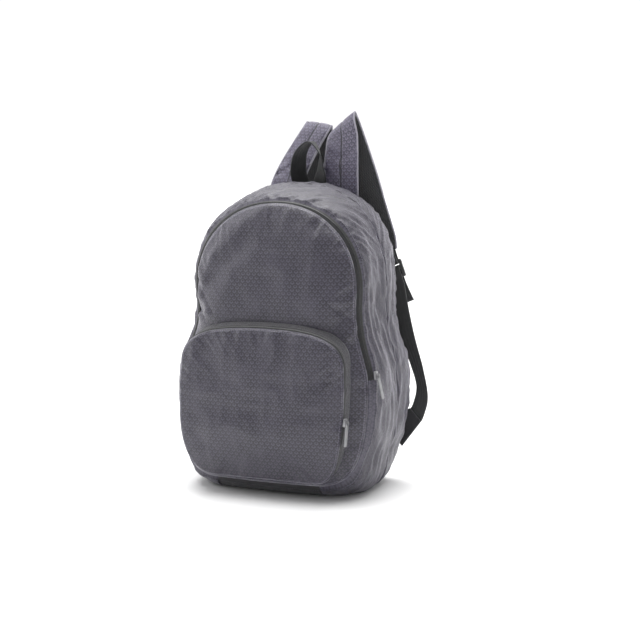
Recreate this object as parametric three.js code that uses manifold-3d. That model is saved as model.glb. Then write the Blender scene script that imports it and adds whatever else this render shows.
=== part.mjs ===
// A packable daypack: a light nylon bag that stands on its black base, with a domed front pocket that has
// a black zip gusset, two flat shoulder straps that fold over above the back, and a black haul loop.
// Millimetres, +Z up, front towards -Y. The origin is the middle of the flat base, on the floor.
import * as THREE from "three";
import Module from "manifold-3d";

const wasm = await Module();
wasm.setup();

// Bag body
const bagWidth = 300;
const frontTop = 395;
const backTop = 411;
const frontSeamLift = 20;
const backSeamLift = 16;
const frontReach = 77;
const frontLean = 0.07;
const backReach = 62;
const clothWall = 1.6;
const seamGap = 0.3;
const sideCrown = 8;
const topCrown = 13;
const floorCrown = 27;
const frontBulge = 24;
const backBulge = 5;
const rearSeamShare = 0.56;
const panelCentre = 0.48;
const footBow = 20;
const footBowRise = 130;
const leftPinch = 0.09;
const leftPinchHeight = 222;
const leftPinchTall = 48;

// How soon a swell reaches its height: a small power fills out at once, a large one stays flat to the edge
const gussetFullness = 0.4;
const frontFlatness = 5;
const backFlatness = 4;
const pocketFlatness = 4;
const frontFoldFade = 5;
const pocketFoldFade = 2;
const floorTurnFrom = 0.5;
const floorTurnGain = 1.6;
const topTurnGain = 1.5;

// Main zip, between the front panel and the gusset
const zipWidth = 6;

// Front pocket
const pocketWidth = 238;
const pocketTop = 229;
const pocketBottom = 25;
const pocketStandOff = 14;
const pocketRise = 85;
const pocketFlare = 7;
const pocketBulge = 9;
const pocketClearance = 1.9;
const pocketZipWidth = 6;
const pocketGussetLeast = 12;

// Zip sliders and their pulls
const sliderWidth = 8;
const sliderLength = 12;
const sliderThick = 3.2;
const sliderSeat = 0.9;
const bridgeWidth = 2.2;
const bridgeRise = 3.4;
const bridgeWall = 1;
const bridgeLength = 5;
const pullWidth = 8;
const pullLength = 32;
const pullThick = 1.4;
const pullBar = 0.7;
const pullHoleWidth = 3;
const pullHoleLength = 3;
const pullLift = 9;

// Shoulder straps
const strapWidth = 50;
const strapCloth = 1.6;
const strapPad = 2;
const layerGap = 0.4;
const strapSpread = 45;
const strapRise = 92;
const strapDrop = 91;
const strapReach = 30;
const strapSplay = 82;

// Webbing, ladder locks and anchor tabs
const webbingWidth = 25;
const webbingWall = 1.4;
const lockWidth = 34;
const lockThick = 3;
const lockRadius = 2.5;
const barHeight = 4;
const upperSlot = 6;
const lowerSlot = 8;
const slotPlay = 0.9;
const barInset = 1.4;
const lockDrop = 30;
const tabOverlap = 11;
const tabSpread = 1;
const tailLength = 30;
const tailFlare = 7;
const tailSteps = 3;
const tailCurl = 1.5;
const tailDrop = 0.8;
const webbingPlay = 1;
const anchorHeight = 66;
const anchorInset = 14;
const anchorReach = 32;
const anchorRise = 0.9;
const anchorBase = 44;
const anchorWall = 2;
const anchorStandOff = 2.9;

// Haul loop
const loopRise = 64;
const loopSpan = 36;
const loopShift = -2;
const loopWall = 1.6;
const loopRootShare = 0.3;

// How finely each stretch of an outline, sheet and ribbon is divided
const outlineSteps = { flat: 3, corner: 7, side: 5, arch: 12 };
const gussetSteps = 6;
const rearSteps = 3;
const panelRings = [1, 0.965, 0.9, 0.8, 0.66, 0.5, 0.3, 0];
const backRings = [1, 0.9, 0.7, 0.4, 0];
const strapSteps = 30;
const loopSteps = 20;
const strandSteps = 12;
const wrapSteps = 6;

// Half of each outline as shares of its half width and of its height: the flat foot, the pull of the
// foot's rounded corner, the widest point (hip), the point where the arch starts (shoulder) and how full
// the arch is.
const outlineShares = {
  front: {
    flat: 0.5, cornerOut: 0.86, cornerUp: 0.12, hip: 0.965, hipUp: 0.38,
    shoulder: 0.83, shoulderUp: 0.665, full: 0.62,
  },
  back: {
    flat: 0.5, cornerOut: 0.88, cornerUp: 0.11, hip: 1, hipUp: 0.36,
    shoulder: 0.855, shoulderUp: 0.64, full: 0.66,
  },
  pocket: {
    flat: 0.6, cornerOut: 0.86, cornerUp: 0.12, hip: 1, hipUp: 0.62,
    shoulder: 0.99, shoulderUp: 0.74, full: 0.74,
  },
};

// Folds in the front panel: each runs from one place to another, given as shares of the half width and of
// the height of the bag. wide and deep are in millimetres; a negative depth stands out.
const frontFolds = [
  { fromX: -0.24, fromZ: 0.86, toX: -0.66, toZ: 0.7, wide: 14, deep: 3.4 },
  { fromX: -0.36, fromZ: 0.9, toX: -0.7, toZ: 0.76, wide: 11, deep: -2.4 },
  { fromX: 0.8, fromZ: 0.72, toX: 0.6, toZ: 0.57, wide: 12, deep: 3.2 },
  { fromX: 0.7, fromZ: 0.8, toX: 0.5, toZ: 0.62, wide: 16, deep: -2 },
  { fromX: 0.8, fromZ: 0.57, toX: 0.95, toZ: 0.43, wide: 10, deep: 2.6 },
  { fromX: -0.85, fromZ: 0.6, toX: -0.78, toZ: 0.4, wide: 12, deep: 2.8 },
  { fromX: -0.1, fromZ: 0.93, toX: 0.3, toZ: 0.8, wide: 18, deep: 1.6 },
];

// Folds in the pocket's face, in the same terms.
const pocketFolds = [
  { fromX: 0.78, fromZ: 0.5, toX: 0.66, toZ: 0.42, wide: 13, deep: 4 },
  { fromX: -0.6, fromZ: 0.52, toX: -0.3, toZ: 0.4, wide: 16, deep: 2.4 },
  { fromX: 0.3, fromZ: 0.53, toX: 0.1, toZ: 0.36, wide: 16, deep: 1.8 },
  { fromX: -0.7, fromZ: 0.3, toX: -0.5, toZ: 0.14, wide: 14, deep: 2.6 },
  { fromX: 0.72, fromZ: 0.26, toX: 0.45, toZ: 0.12, wide: 15, deep: 2.8 },
];

// Sags in the gusset: the side they are on, their place as shares of the height and of the depth from
// front to back, and how tall, how long and how deep they are.
const gussetSags = [
  { side: 1, up: 0.66, back: 0.3, tall: 60, long: 22, deep: 4 },
  { side: 1, up: 0.42, back: 0.5, tall: 44, long: 36, deep: 4.5 },
  { side: 1, up: 0.84, back: 0.42, tall: 26, long: 34, deep: 3.5 },
  { side: -1, up: 0.6, back: 0.36, tall: 50, long: 26, deep: 4 },
  { side: -1, up: 0.34, back: 0.55, tall: 40, long: 34, deep: 4.5 },
  { side: -1, up: 0.9, back: 0.5, tall: 24, long: 40, deep: 3 },
];

// A strap from its sewn root to its end. out is a share of strapSplay, back of strapReach, and up of
// strapRise above the bag's top or of strapDrop below it. tilt lifts the outer edge, turn brings it
// forward when it is negative, in degrees, and wide is a share of strapWidth.
const rightStations = [
  { out: 0, back: 0, up: -0.38, tilt: 0, turn: 0, wide: 1 },
  { out: 0, back: 0, up: -0.1, tilt: 0, turn: 0, wide: 1 },
  { out: -0.01, back: 0.06, up: 0.3, tilt: 2, turn: -2, wide: 1 },
  { out: -0.02, back: 0.24, up: 0.72, tilt: 14, turn: -9, wide: 1 },
  { out: -0.04, back: 0.32, up: 0.91, tilt: 28, turn: -18, wide: 1 },
  { out: -0.03, back: 0.56, up: 1, tilt: 33, turn: -22, wide: 1 },
  { out: 0, back: 0.82, up: 0.9, tilt: 31, turn: -22, wide: 1 },
  { out: 0.1, back: 0.96, up: 0.6, tilt: 24, turn: -18, wide: 1 },
  { out: 0.29, back: 0.97, up: 0.1, tilt: 18, turn: -15, wide: 1 },
  { out: 0.48, back: 0.94, up: -0.42, tilt: 16, turn: -12, wide: 0.96 },
  { out: 0.67, back: 0.9, up: -0.82, tilt: 15, turn: -10, wide: 0.8 },
  { out: 0.75, back: 0.84, up: -1, tilt: 14, turn: -8, wide: 0.62 },
];
const leftStations = [
  { out: -0.05, back: 0, up: -0.38, tilt: 0, turn: 0, wide: 1 },
  { out: -0.05, back: 0.03, up: -0.16, tilt: 0, turn: 1, wide: 1 },
  { out: -0.07, back: 0.17, up: 0.05, tilt: 0, turn: 4, wide: 1 },
  { out: -0.14, back: 0.52, up: 0.3, tilt: 2, turn: 9, wide: 1 },
  { out: -0.36, back: 0.86, up: 0.7, tilt: 4, turn: 18, wide: 1 },
  { out: -0.49, back: 1, up: 0.9, tilt: 6, turn: 22, wide: 1 },
  { out: -0.53, back: 1.2, up: 0.98, tilt: 7, turn: 23, wide: 1 },
  { out: -0.5, back: 1.44, up: 0.89, tilt: 8, turn: 22, wide: 1 },
  { out: -0.37, back: 1.62, up: 0.58, tilt: 9, turn: 16, wide: 1 },
  { out: -0.1, back: 1.66, up: 0.06, tilt: 12, turn: 2, wide: 1 },
  { out: 0.36, back: 1.3, up: -0.42, tilt: 13, turn: -12, wide: 0.96 },
  { out: 0.72, back: 0.9, up: -0.82, tilt: 12, turn: -12, wide: 0.8 },
  { out: 0.82, back: 0.78, up: -1, tilt: 10, turn: -8, wide: 0.62 },
];

// The webbing between a ladder lock and its anchor tab. along is the share of the way, and out and back
// say how far it strays from the straight line, in millimetres.
const strandStations = [
  { along: 0, out: 0, back: 0 },
  { along: 0.16, out: 0, back: 1 },
  { along: 0.4, out: 2, back: 4 },
  { along: 0.64, out: 9, back: 7 },
  { along: 0.84, out: 11, back: 7 },
  { along: 0.96, out: 4, back: 2 },
];

// The haul loop from its left root to its right root. along is a share of loopSpan from the middle, back
// of webbingWidth, up of loopRise, and turn is how far the webbing has twisted from the seam's line, in
// degrees.
const loopStations = [
  { along: -0.36, back: 0, up: -loopRootShare, turn: 0 },
  { along: -0.4, back: 0.05, up: 0.03, turn: 8 },
  { along: -0.48, back: -0.06, up: 0.36, turn: 40 },
  { along: -0.36, back: -0.08, up: 0.78, turn: 66 },
  { along: 0.06, back: -0.08, up: 1, turn: 90 },
  { along: 0.44, back: -0.08, up: 0.76, turn: 72 },
  { along: 0.5, back: -0.06, up: 0.36, turn: 46 },
  { along: 0.4, back: 0.07, up: 0.03, turn: 12 },
  { along: 0.38, back: 0, up: -loopRootShare, turn: 0 },
];

const finish = {
  print: new THREE.MeshStandardMaterial({ color: 0x55515f, roughness: 0.72 }),
  blackNylon: new THREE.MeshStandardMaterial({ color: 0x26272b, roughness: 0.8 }),
  mesh: new THREE.MeshStandardMaterial({ color: 0x2b2c31, roughness: 0.9 }),
  webbing: new THREE.MeshStandardMaterial({ color: 0x1b1d1f, roughness: 0.75 }),
  zip: new THREE.MeshStandardMaterial({ color: 0x1f2022, roughness: 0.6 }),
  plastic: new THREE.MeshStandardMaterial({ color: 0x4a4c4c, roughness: 0.45 }),
  metal: new THREE.MeshStandardMaterial({ color: 0x8b8c8e, roughness: 0.35, metalness: 1 }),
};

const bagGroup = new THREE.Group();

function addPiece(name, geometry, material, parent = bagGroup) {
  const mesh = new THREE.Mesh(geometry, material);
  mesh.name = name;
  parent.add(mesh);
  return mesh;
}

const ease = (share) => THREE.MathUtils.smoothstep(share, 0, 1);
const mix = THREE.MathUtils.lerp;
const radians = THREE.MathUtils.degToRad;
const range = (first, last) => Array.from({ length: last - first + 1 }, (_, k) => first + k);

// The whole closed outline in (x, z): from the foot's middle up the right side, over the top and down the
// left.
function outlinePoints(shares, width, bottom, top, pinchShare = 0) {
  const half = width / 2;
  const rise = top - bottom;
  const foot = new THREE.Vector2(0, bottom);
  const flat = new THREE.Vector2(shares.flat * half, bottom);
  const hip = new THREE.Vector2(shares.hip * half, bottom + shares.hipUp * rise);
  const shoulder = new THREE.Vector2(shares.shoulder * half, bottom + shares.shoulderUp * rise);
  const crest = new THREE.Vector2(0, top);
  const archPull = shares.full * (top - shoulder.y);
  const sidePull = (shoulder.y - hip.y) / 3;
  const cornerOut = new THREE.Vector2(shares.cornerOut * half, bottom);
  const cornerUp = new THREE.Vector2(hip.x, bottom + shares.cornerUp * rise);
  const hipTop = new THREE.Vector2(hip.x, hip.y + sidePull);
  const shoulderFoot = new THREE.Vector2(shoulder.x, shoulder.y - sidePull);
  const shoulderTop = new THREE.Vector2(shoulder.x, shoulder.y + archPull);
  const crestOut = new THREE.Vector2(shares.full * shoulder.x, top);
  const stretches = [
    [new THREE.LineCurve(foot, flat), outlineSteps.flat],
    [new THREE.CubicBezierCurve(flat, cornerOut, cornerUp, hip), outlineSteps.corner],
    [new THREE.CubicBezierCurve(hip, hipTop, shoulderFoot, shoulder), outlineSteps.side],
    [new THREE.CubicBezierCurve(shoulder, shoulderTop, crestOut, crest), outlineSteps.arch],
  ];
  const right = stretches.flatMap(([curve, steps]) => curve.getPoints(steps).slice(0, steps));
  const left = right.slice(1).reverse().map((point) => {
    const pinch = leftPinch * Math.exp(-(((point.y - leftPinchHeight) / leftPinchTall) ** 2));
    return new THREE.Vector2(-point.x * (1 - pinch * pinchShare), point.y);
  });
  return [...right, crest, ...left];
}

// Outward directions of a closed outline that runs counter-clockwise.
function outwardNormals(outline) {
  return outline.map((point, i) => {
    const before = outline[(i + outline.length - 1) % outline.length];
    const after = outline[(i + 1) % outline.length];
    return new THREE.Vector2(after.y - before.y, before.x - after.x).normalize();
  });
}

// How far a point lies from an outline's centre, as a share of the way to the outline.
function shareOfOutline(outline, centre, x, z) {
  const ray = new THREE.Vector2(x, z - centre);
  let share = 0;
  outline.forEach((point, i) => {
    const next = outline[(i + 1) % outline.length];
    const from = new THREE.Vector2(point.x, point.y - centre);
    const side = new THREE.Vector2(next.x - point.x, next.y - point.y);
    const crossing = ray.cross(side);
    if (crossing === 0) return;
    const along = from.cross(side) / crossing;
    const across = from.cross(ray) / crossing;
    if (along > 0 && across >= 0 && across <= 1) share = 1 / along;
  });
  return share;
}

// How deep the folds of a table press the cloth at a place on the front.
function foldDepth(folds, x, z) {
  return folds.reduce((sum, fold) => {
    const from = new THREE.Vector2((fold.fromX * bagWidth) / 2, fold.fromZ * frontTop);
    const to = new THREE.Vector2((fold.toX * bagWidth) / 2, fold.toZ * frontTop);
    const line = to.clone().sub(from);
    const place = new THREE.Vector2(x, z).sub(from);
    const along = THREE.MathUtils.clamp(place.dot(line) / line.lengthSq(), 0, 1);
    const away = place.distanceTo(line.multiplyScalar(along));
    return sum + fold.deep * Math.exp(-((away / fold.wide) ** 2));
  }, 0);
}

// An indexed geometry whose faces point out, whichever way its rows were laid.
function facingOut(points, triangles) {
  const volume = triangles.reduce(
    (sum, [a, b, c]) => sum + points[a].dot(new THREE.Vector3().crossVectors(points[b], points[c])),
    0,
  );
  const order = volume < 0 ? triangles.map(([a, b, c]) => [a, c, b]) : triangles;
  const geometry = new THREE.BufferGeometry();
  geometry.setAttribute("position", new THREE.Float32BufferAttribute(points.flatMap((p) => p.toArray()), 3));
  geometry.setIndex(order.flat());
  geometry.computeVertexNormals();
  return geometry;
}

// The way a sheet's outer face looks at each of its points: the cross product of the way from row to row
// and the way across a row.
function sheetNormals(rows, loop = false) {
  const count = rows.length;
  const lastColumn = rows[0].length - 1;
  const wrap = (i) => (loop ? (i + count) % count : THREE.MathUtils.clamp(i, 0, count - 1));
  return rows.map((row, i) =>
    row.map((point, j) => {
      const along = rows[wrap(i + 1)][j].clone().sub(rows[wrap(i - 1)][j]);
      const across = row[Math.min(j + 1, lastColumn)].clone().sub(row[Math.max(j - 1, 0)]);
      return along.cross(across).normalize();
    }),
  );
}

// Rows of points moved out of their sheet, or into it where the distance is negative.
function liftedRows(rows, distance) {
  const normals = sheetNormals(rows);
  return rows.map((row, i) => row.map((point, j) => point.clone().addScaledVector(normals[i][j], distance)));
}

// A closed sheet of even thickness whose outer face runs through rows of points. The rows may close into a
// loop, and the last column may be a single point, the middle of a panel.
function sheetGeometry(rows, wall, { loop = false, pole = false } = {}) {
  const count = rows.length;
  const lastColumn = rows[0].length - 1;
  const stride = pole ? lastColumn : lastColumn + 1;
  const wrap = (i) => (loop ? (i + count) % count : THREE.MathUtils.clamp(i, 0, count - 1));
  const normals = sheetNormals(rows, loop);
  const outer = [];
  const inner = [];
  const poleNormal = new THREE.Vector3();
  rows.forEach((row, i) => {
    row.slice(0, stride).forEach((point, j) => {
      const normal = normals[i][j];
      if (j === stride - 1) poleNormal.add(normal);
      outer.push(point);
      inner.push(point.clone().addScaledVector(normal, -wall));
    });
  });
  if (pole) {
    const middle = rows[0][lastColumn];
    outer.push(middle);
    inner.push(middle.clone().addScaledVector(poleNormal.normalize(), -wall));
  }
  const index = (i, j) => (pole && j === lastColumn ? outer.length - 1 : wrap(i) * stride + j);
  const shift = outer.length;
  const triangles = [];
  const addFace = (a, b, c, d) => {
    triangles.push([a, b, c]);
    if (c !== d) triangles.push([a, c, d]);
  };
  for (let i = 0; i < (loop ? count : count - 1); i++) {
    for (let j = 0; j < lastColumn; j++) {
      const [a, b, c, d] = [index(i, j), index(i + 1, j), index(i + 1, j + 1), index(i, j + 1)];
      addFace(a, b, c, d);
      if (c === d) triangles.push([b + shift, a + shift, c + shift]);
      else addFace(a + shift, d + shift, c + shift, b + shift);
    }
    const [a, b] = [index(i, 0), index(i + 1, 0)];
    addFace(b, a, a + shift, b + shift);
    if (!pole) {
      const [c, d] = [index(i + 1, lastColumn), index(i, lastColumn)];
      addFace(d, c, c + shift, d + shift);
    }
  }
  for (let j = 0; j < (loop ? 0 : lastColumn); j++) {
    const [a, b] = [index(0, j), index(0, j + 1)];
    addFace(a, b, b + shift, a + shift);
    const [c, d] = [index(count - 1, j), index(count - 1, j + 1)];
    addFace(d, c, c + shift, d + shift);
  }
  return facingOut([...outer, ...inner], triangles);
}

// The bag's seams, as outlines in (x, z) at a depth that leans with the height.
const frontOutline = outlinePoints(outlineShares.front, bagWidth, frontSeamLift, frontTop, 1);
const backOutline = outlinePoints(outlineShares.back, bagWidth, backSeamLift, backTop, 0.35);
const middleNormals = outwardNormals(frontOutline.map((point, i) => point.clone().lerp(backOutline[i], 0.5)));
const outlineCount = frontOutline.length;
const panelStep = zipWidth + 2 * seamGap + clothWall;
const frontCentre = mix(frontSeamLift, frontTop, panelCentre);

// The front seam leans back with the height, and its foot bows forward in the middle.
function frontSeamY(x, z) {
  const bow = footBow * (1 - ((2 * x) / bagWidth) ** 2) * (1 - ease(z / footBowRise));
  return -frontReach + frontLean * z - bow;
}

// The base covers the flat foot; the gusset runs round the rest of the outline, and the main zip round
// its arch.
const baseEnd = outlineSteps.flat;
const zipFirst = outlineSteps.flat + outlineSteps.corner;

// Depth of the front panel's outer face at a place on it.
function frontFaceY(x, z) {
  const share = Math.min(shareOfOutline(frontOutline, frontCentre, x, z), 1);
  const dome = frontBulge * (1 - share ** frontFlatness);
  const pressed = foldDepth(frontFolds, x, z) * ease((1 - share) * frontFoldFade);
  return frontSeamY(x, z) - panelStep - dome + pressed;
}

// Depth of the back panel's outer face at a share of the way from its middle to its edge.
const backCentre = mix(backSeamLift, backTop, panelCentre);
const backFaceY = (share) => backReach + seamGap + clothWall + backBulge * (1 - share ** backFlatness);

// The haul loop's ends lie on the back panel under its top edge, and the straps' ends lie over them.
const loopRootRise = -loopRootShare * loopRise;
const loopRootY = backFaceY(1 + loopRootRise / (backTop - backCentre)) + seamGap + loopWall;
const strapRootY = loopRootY + seamGap;

function sagDepth(x, share, z) {
  return gussetSags.reduce((sum, sag) => {
    const up = (z - sag.up * backTop) / sag.tall;
    const back = ((share - sag.back) * (frontReach + backReach)) / sag.long;
    return Math.sign(x) === sag.side ? sum + sag.deep * Math.exp(-(up ** 2) - back ** 2) : sum;
  }, 0);
}

// The gusset wraps the bag between the two seams and swells between them, and is flat where it meets the
// floor.
function gussetPoint(i, share) {
  const at = (i + outlineCount) % outlineCount;
  const front = frontOutline[at];
  const back = backOutline[at];
  const normal = middleNormals[at];
  const x = mix(front.x, back.x, share);
  const z = mix(front.y, back.y, share);
  const upper = mix(sideCrown, topCrown, ease(normal.y * topTurnGain));
  const crown = mix(upper, floorCrown, ease(-normal.y * floorTurnGain - floorTurnFrom));
  const free = Math.max(Math.sin(Math.PI * share), 0);
  const swell = free ** gussetFullness * crown - free * sagDepth(x, share, z);
  const y = mix(frontSeamY(front.x, front.y), backReach, share);
  return new THREE.Vector3(x + normal.x * swell, y, Math.max(z + normal.y * swell, 0));
}

// One strip of the gusset between two shares of its depth. Below the main zip it reaches forward to the
// panel, and its ends stand clear of the base.
function gussetStrip(frontShare, backShare, steps, reachesPanel) {
  const last = outlineCount - baseEnd;
  return range(baseEnd, last).map((i) => {
    const row = range(0, steps).map((k) => gussetPoint(i, mix(backShare, frontShare, k / steps)));
    const onZip = i >= zipFirst && i <= outlineCount - zipFirst;
    if (reachesPanel && !onZip) row[steps].y -= zipWidth + seamGap;
    if (i === baseEnd) row.forEach((point) => (point.x += seamGap));
    if (i === last) row.forEach((point) => (point.x -= seamGap));
    return row;
  });
}

function buildBody() {
  const rearGap = seamGap / (backReach + frontReach);
  const frontStrip = gussetStrip(0, rearSeamShare, gussetSteps, true);
  const rearStrip = gussetStrip(rearSeamShare + rearGap, 1, rearSteps, false);
  addPiece("gusset_front", sheetGeometry(frontStrip, clothWall), finish.print);
  addPiece("gusset_rear", sheetGeometry(rearStrip, clothWall), finish.print);

  const baseSteps = gussetSteps + rearSteps;
  const baseRows = range(-baseEnd, baseEnd).map((i) => {
    const row = range(0, baseSteps).map((k) => gussetPoint(i, 1 - k / baseSteps));
    row[baseSteps].y -= zipWidth + seamGap;
    return row;
  });
  addPiece("base_panel", sheetGeometry(baseRows, clothWall), finish.blackNylon);

  const backRows = backOutline.map((point) =>
    backRings.map((ring) => {
      const z = mix(backCentre, point.y, ring);
      return new THREE.Vector3(point.x * ring, backFaceY(ring), z);
    }),
  );
  const backSheet = sheetGeometry(backRows.reverse(), clothWall, { loop: true, pole: true });
  addPiece("back_panel", backSheet, finish.mesh);

  const zipRows = range(zipFirst, outlineCount - zipFirst).map((i) => {
    const edge = gussetPoint(i, 0);
    return range(0, 2).map((k) => edge.clone().setY(edge.y - seamGap - (zipWidth * k) / 2));
  });
  addPiece("main_zip", sheetGeometry(zipRows, clothWall), finish.zip);
}

// The pocket's root on the front panel, and its face, which stands off the panel and swells.
const pocketFaceOutline = outlinePoints(outlineShares.pocket, pocketWidth, pocketBottom, pocketTop);
const pocketRootTop = pocketTop + pocketFlare;
const pocketRootOutline = outlinePoints(outlineShares.pocket, pocketWidth, pocketBottom, pocketRootTop);
const pocketCentre = mix(pocketBottom, pocketTop, panelCentre);
const pocketOpens = (z) => ease((z - pocketBottom) / pocketRise);

function pocketEdgeY(z) {
  const dome = frontBulge * (1 - shareOfOutline(frontOutline, frontCentre, 0, z) ** frontFlatness);
  return frontSeamY(0, z) - panelStep - dome - pocketClearance - clothWall - pocketStandOff * pocketOpens(z);
}

const frontRows = frontOutline.map((point) =>
  panelRings.map((ring) => {
    const x = point.x * ring;
    const z = mix(frontCentre, point.y, ring);
    return new THREE.Vector3(x, frontFaceY(x, z), z);
  }),
);
const frontSheet = sheetGeometry(frontRows, clothWall, { loop: true, pole: true });
const frontPanel = addPiece("front_panel", frontSheet, finish.print);

// Where the front panel's outer face lies behind a place.
function panelY(x, z) {
  const ray = new THREE.Raycaster(new THREE.Vector3(x, -bagWidth, z), new THREE.Vector3(0, 1, 0));
  const hit = ray.intersectObject(frontPanel)[0];
  return hit ? hit.point.y : frontFaceY(x, z);
}

// The pocket's gusset from the front panel to the face, at one place on the outline.
function pocketSide(i) {
  const count = pocketRootOutline.length;
  const root = pocketRootOutline[i];
  const face = pocketFaceOutline[i];
  const beside = [0, count - 1, 1].map((step) => {
    const next = pocketRootOutline[(i + step) % count];
    return root.clone().lerp(next, 0.5);
  });
  const rootY = Math.min(...beside.map((place) => panelY(place.x, place.y))) - pocketClearance;
  const faceY = pocketEdgeY(face.y) + clothWall + seamGap;
  return { root: new THREE.Vector3(root.x, rootY, root.y), face: new THREE.Vector3(face.x, faceY, face.y) };
}

const pocketSides = pocketFaceOutline.map((_, i) => pocketSide(i));

function buildPocket() {
  const faceRows = pocketFaceOutline.map((point) =>
    panelRings.map((ring) => {
      const x = point.x * ring;
      const z = mix(pocketCentre, point.y, ring);
      const free = (1 - ring ** pocketFlatness) * pocketOpens(z);
      const pressed = foldDepth(pocketFolds, x, z) * ease(pocketFoldFade * free);
      return new THREE.Vector3(x, pocketEdgeY(z) - pocketBulge * free + pressed, z);
    }),
  );
  addPiece("pocket_face", sheetGeometry(faceRows, clothWall, { loop: true, pole: true }), finish.print);

  const open = pocketSides.filter(({ root, face }) => root.y - face.y > pocketGussetLeast);
  const strip = (fromFace, toFace) =>
    open.map(({ root, face }) => {
      const depth = root.distanceTo(face);
      return range(0, 2).map((k) => face.clone().lerp(root, mix(toFace(depth), fromFace(depth), k / 2)));
    });
  const zipShare = (depth) => pocketZipWidth / depth;
  const clothShare = (depth) => (pocketZipWidth + seamGap) / depth;
  addPiece("pocket_gusset", sheetGeometry(strip(clothShare, () => 1), clothWall), finish.blackNylon);
  addPiece("pocket_zip", sheetGeometry(strip(() => 0, zipShare), clothWall), finish.zip);
}

// A rectangle about (x, y) with rounded corners.
function roundedPlate(x, y, width, height, radius, Kind = THREE.Shape) {
  const plate = new Kind();
  const right = x + width / 2 - radius;
  const left = x - width / 2 + radius;
  const top = y + height / 2 - radius;
  const foot = y - height / 2 + radius;
  plate.absarc(right, foot, radius, -Math.PI / 2, 0, false);
  plate.absarc(right, top, radius, 0, Math.PI / 2, false);
  plate.absarc(left, top, radius, Math.PI / 2, Math.PI, false);
  plate.absarc(left, foot, radius, Math.PI, 1.5 * Math.PI, false);
  return plate;
}

function extruded(shape, depth) {
  return new THREE.ExtrudeGeometry(shape, { depth, bevelEnabled: false, curveSegments: 3 });
}

function solidFrom(geometry) {
  const welded = new Map();
  const order = [];
  const places = [];
  const position = geometry.getAttribute("position");
  for (let i = 0; i < position.count; i++) {
    const point = [position.getX(i), position.getY(i), position.getZ(i)];
    const key = point.map((value) => value.toFixed(4)).join(" ");
    if (!welded.has(key)) {
      welded.set(key, places.length / 3);
      places.push(...point);
    }
    order.push(welded.get(key));
  }
  const corners = geometry.index ? Array.from(geometry.index.array, (i) => order[i]) : order;
  const vertProperties = new Float32Array(places);
  const triVerts = new Uint32Array(corners);
  return new wasm.Manifold(new wasm.Mesh({ numProp: 3, vertProperties, triVerts }));
}

function geometryFrom(solid) {
  const mesh = solid.getMesh();
  const geometry = new THREE.BufferGeometry();
  geometry.setAttribute("position", new THREE.Float32BufferAttribute(mesh.vertProperties, 3));
  geometry.setIndex(Array.from(mesh.triVerts));
  geometry.computeVertexNormals();
  return geometry;
}

// A slider in its own frame: x across the zip, y up along it, z out of the cloth. The bridge is drawn
// from the side, in (y, z), and its window takes the pull's bar.
function sliderGeometry() {
  const half = bridgeLength / 2;
  const top = sliderThick + bridgeRise;
  const body = extruded(roundedPlate(0, 0, sliderWidth, sliderLength, sliderWidth / 3), sliderThick);
  const side = new THREE.Shape();
  side.moveTo(-half, 0);
  side.lineTo(half, 0);
  side.lineTo(half, top - bridgeWall / 2);
  side.lineTo(half - bridgeWall / 2, top);
  side.lineTo(bridgeWall / 2 - half, top);
  side.lineTo(-half, top - bridgeWall / 2);
  side.closePath();
  const window = new THREE.Path();
  window.moveTo(bridgeWall - half, sliderThick);
  window.lineTo(bridgeWall - half, top - bridgeWall);
  window.lineTo(half - bridgeWall, top - bridgeWall);
  window.lineTo(half - bridgeWall, sliderThick);
  window.closePath();
  side.holes.push(window);
  const bridge = extruded(side, bridgeWidth);
  const x = new THREE.Vector3(1, 0, 0);
  const y = new THREE.Vector3(0, 1, 0);
  const z = new THREE.Vector3(0, 0, 1);
  bridge.translate(0, 0, -bridgeWidth / 2);
  bridge.applyMatrix4(new THREE.Matrix4().makeBasis(y, z, x));
  return geometryFrom(solidFrom(body).add(solidFrom(bridge)));
}

// A pull that hangs down along -y from the middle of its bar, which lies on the hinge's line.
const hingeRise = sliderThick + (bridgeRise - bridgeWall) / 2;

function pullGeometry() {
  const plate = roundedPlate(0, pullBar - pullLength / 2, pullWidth, pullLength, pullWidth / 4);
  const holeMiddle = -pullBar - pullHoleLength / 2;
  plate.holes.push(roundedPlate(0, holeMiddle, pullHoleWidth, pullHoleLength, pullBar / 2, THREE.Path));
  return extruded(plate, pullThick).translate(0, 0, -pullThick / 2);
}

// A slider's place on a zip: x across the zip, y up along it and z out of the cloth.
function zipFrame(place, below, above, across) {
  const up = above.clone().sub(below).normalize();
  const out = new THREE.Vector3().crossVectors(across, up).normalize();
  const side = new THREE.Vector3().crossVectors(up, out);
  const seat = place.clone().addScaledVector(out, sliderSeat);
  return new THREE.Matrix4().makeBasis(side, up, out).setPosition(seat);
}

// The pull hangs from its bar, lifted a little off the cloth that swells below it.
function addSlider(name, frame, lift) {
  const holder = new THREE.Group();
  holder.applyMatrix4(frame);
  bagGroup.add(holder);
  addPiece(`${name}_slider`, sliderGeometry(), finish.metal, holder);
  const pull = addPiece(`${name}_pull`, pullGeometry(), finish.metal, holder);
  pull.position.z = hingeRise;
  pull.rotation.x = radians(-lift);
}

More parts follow.
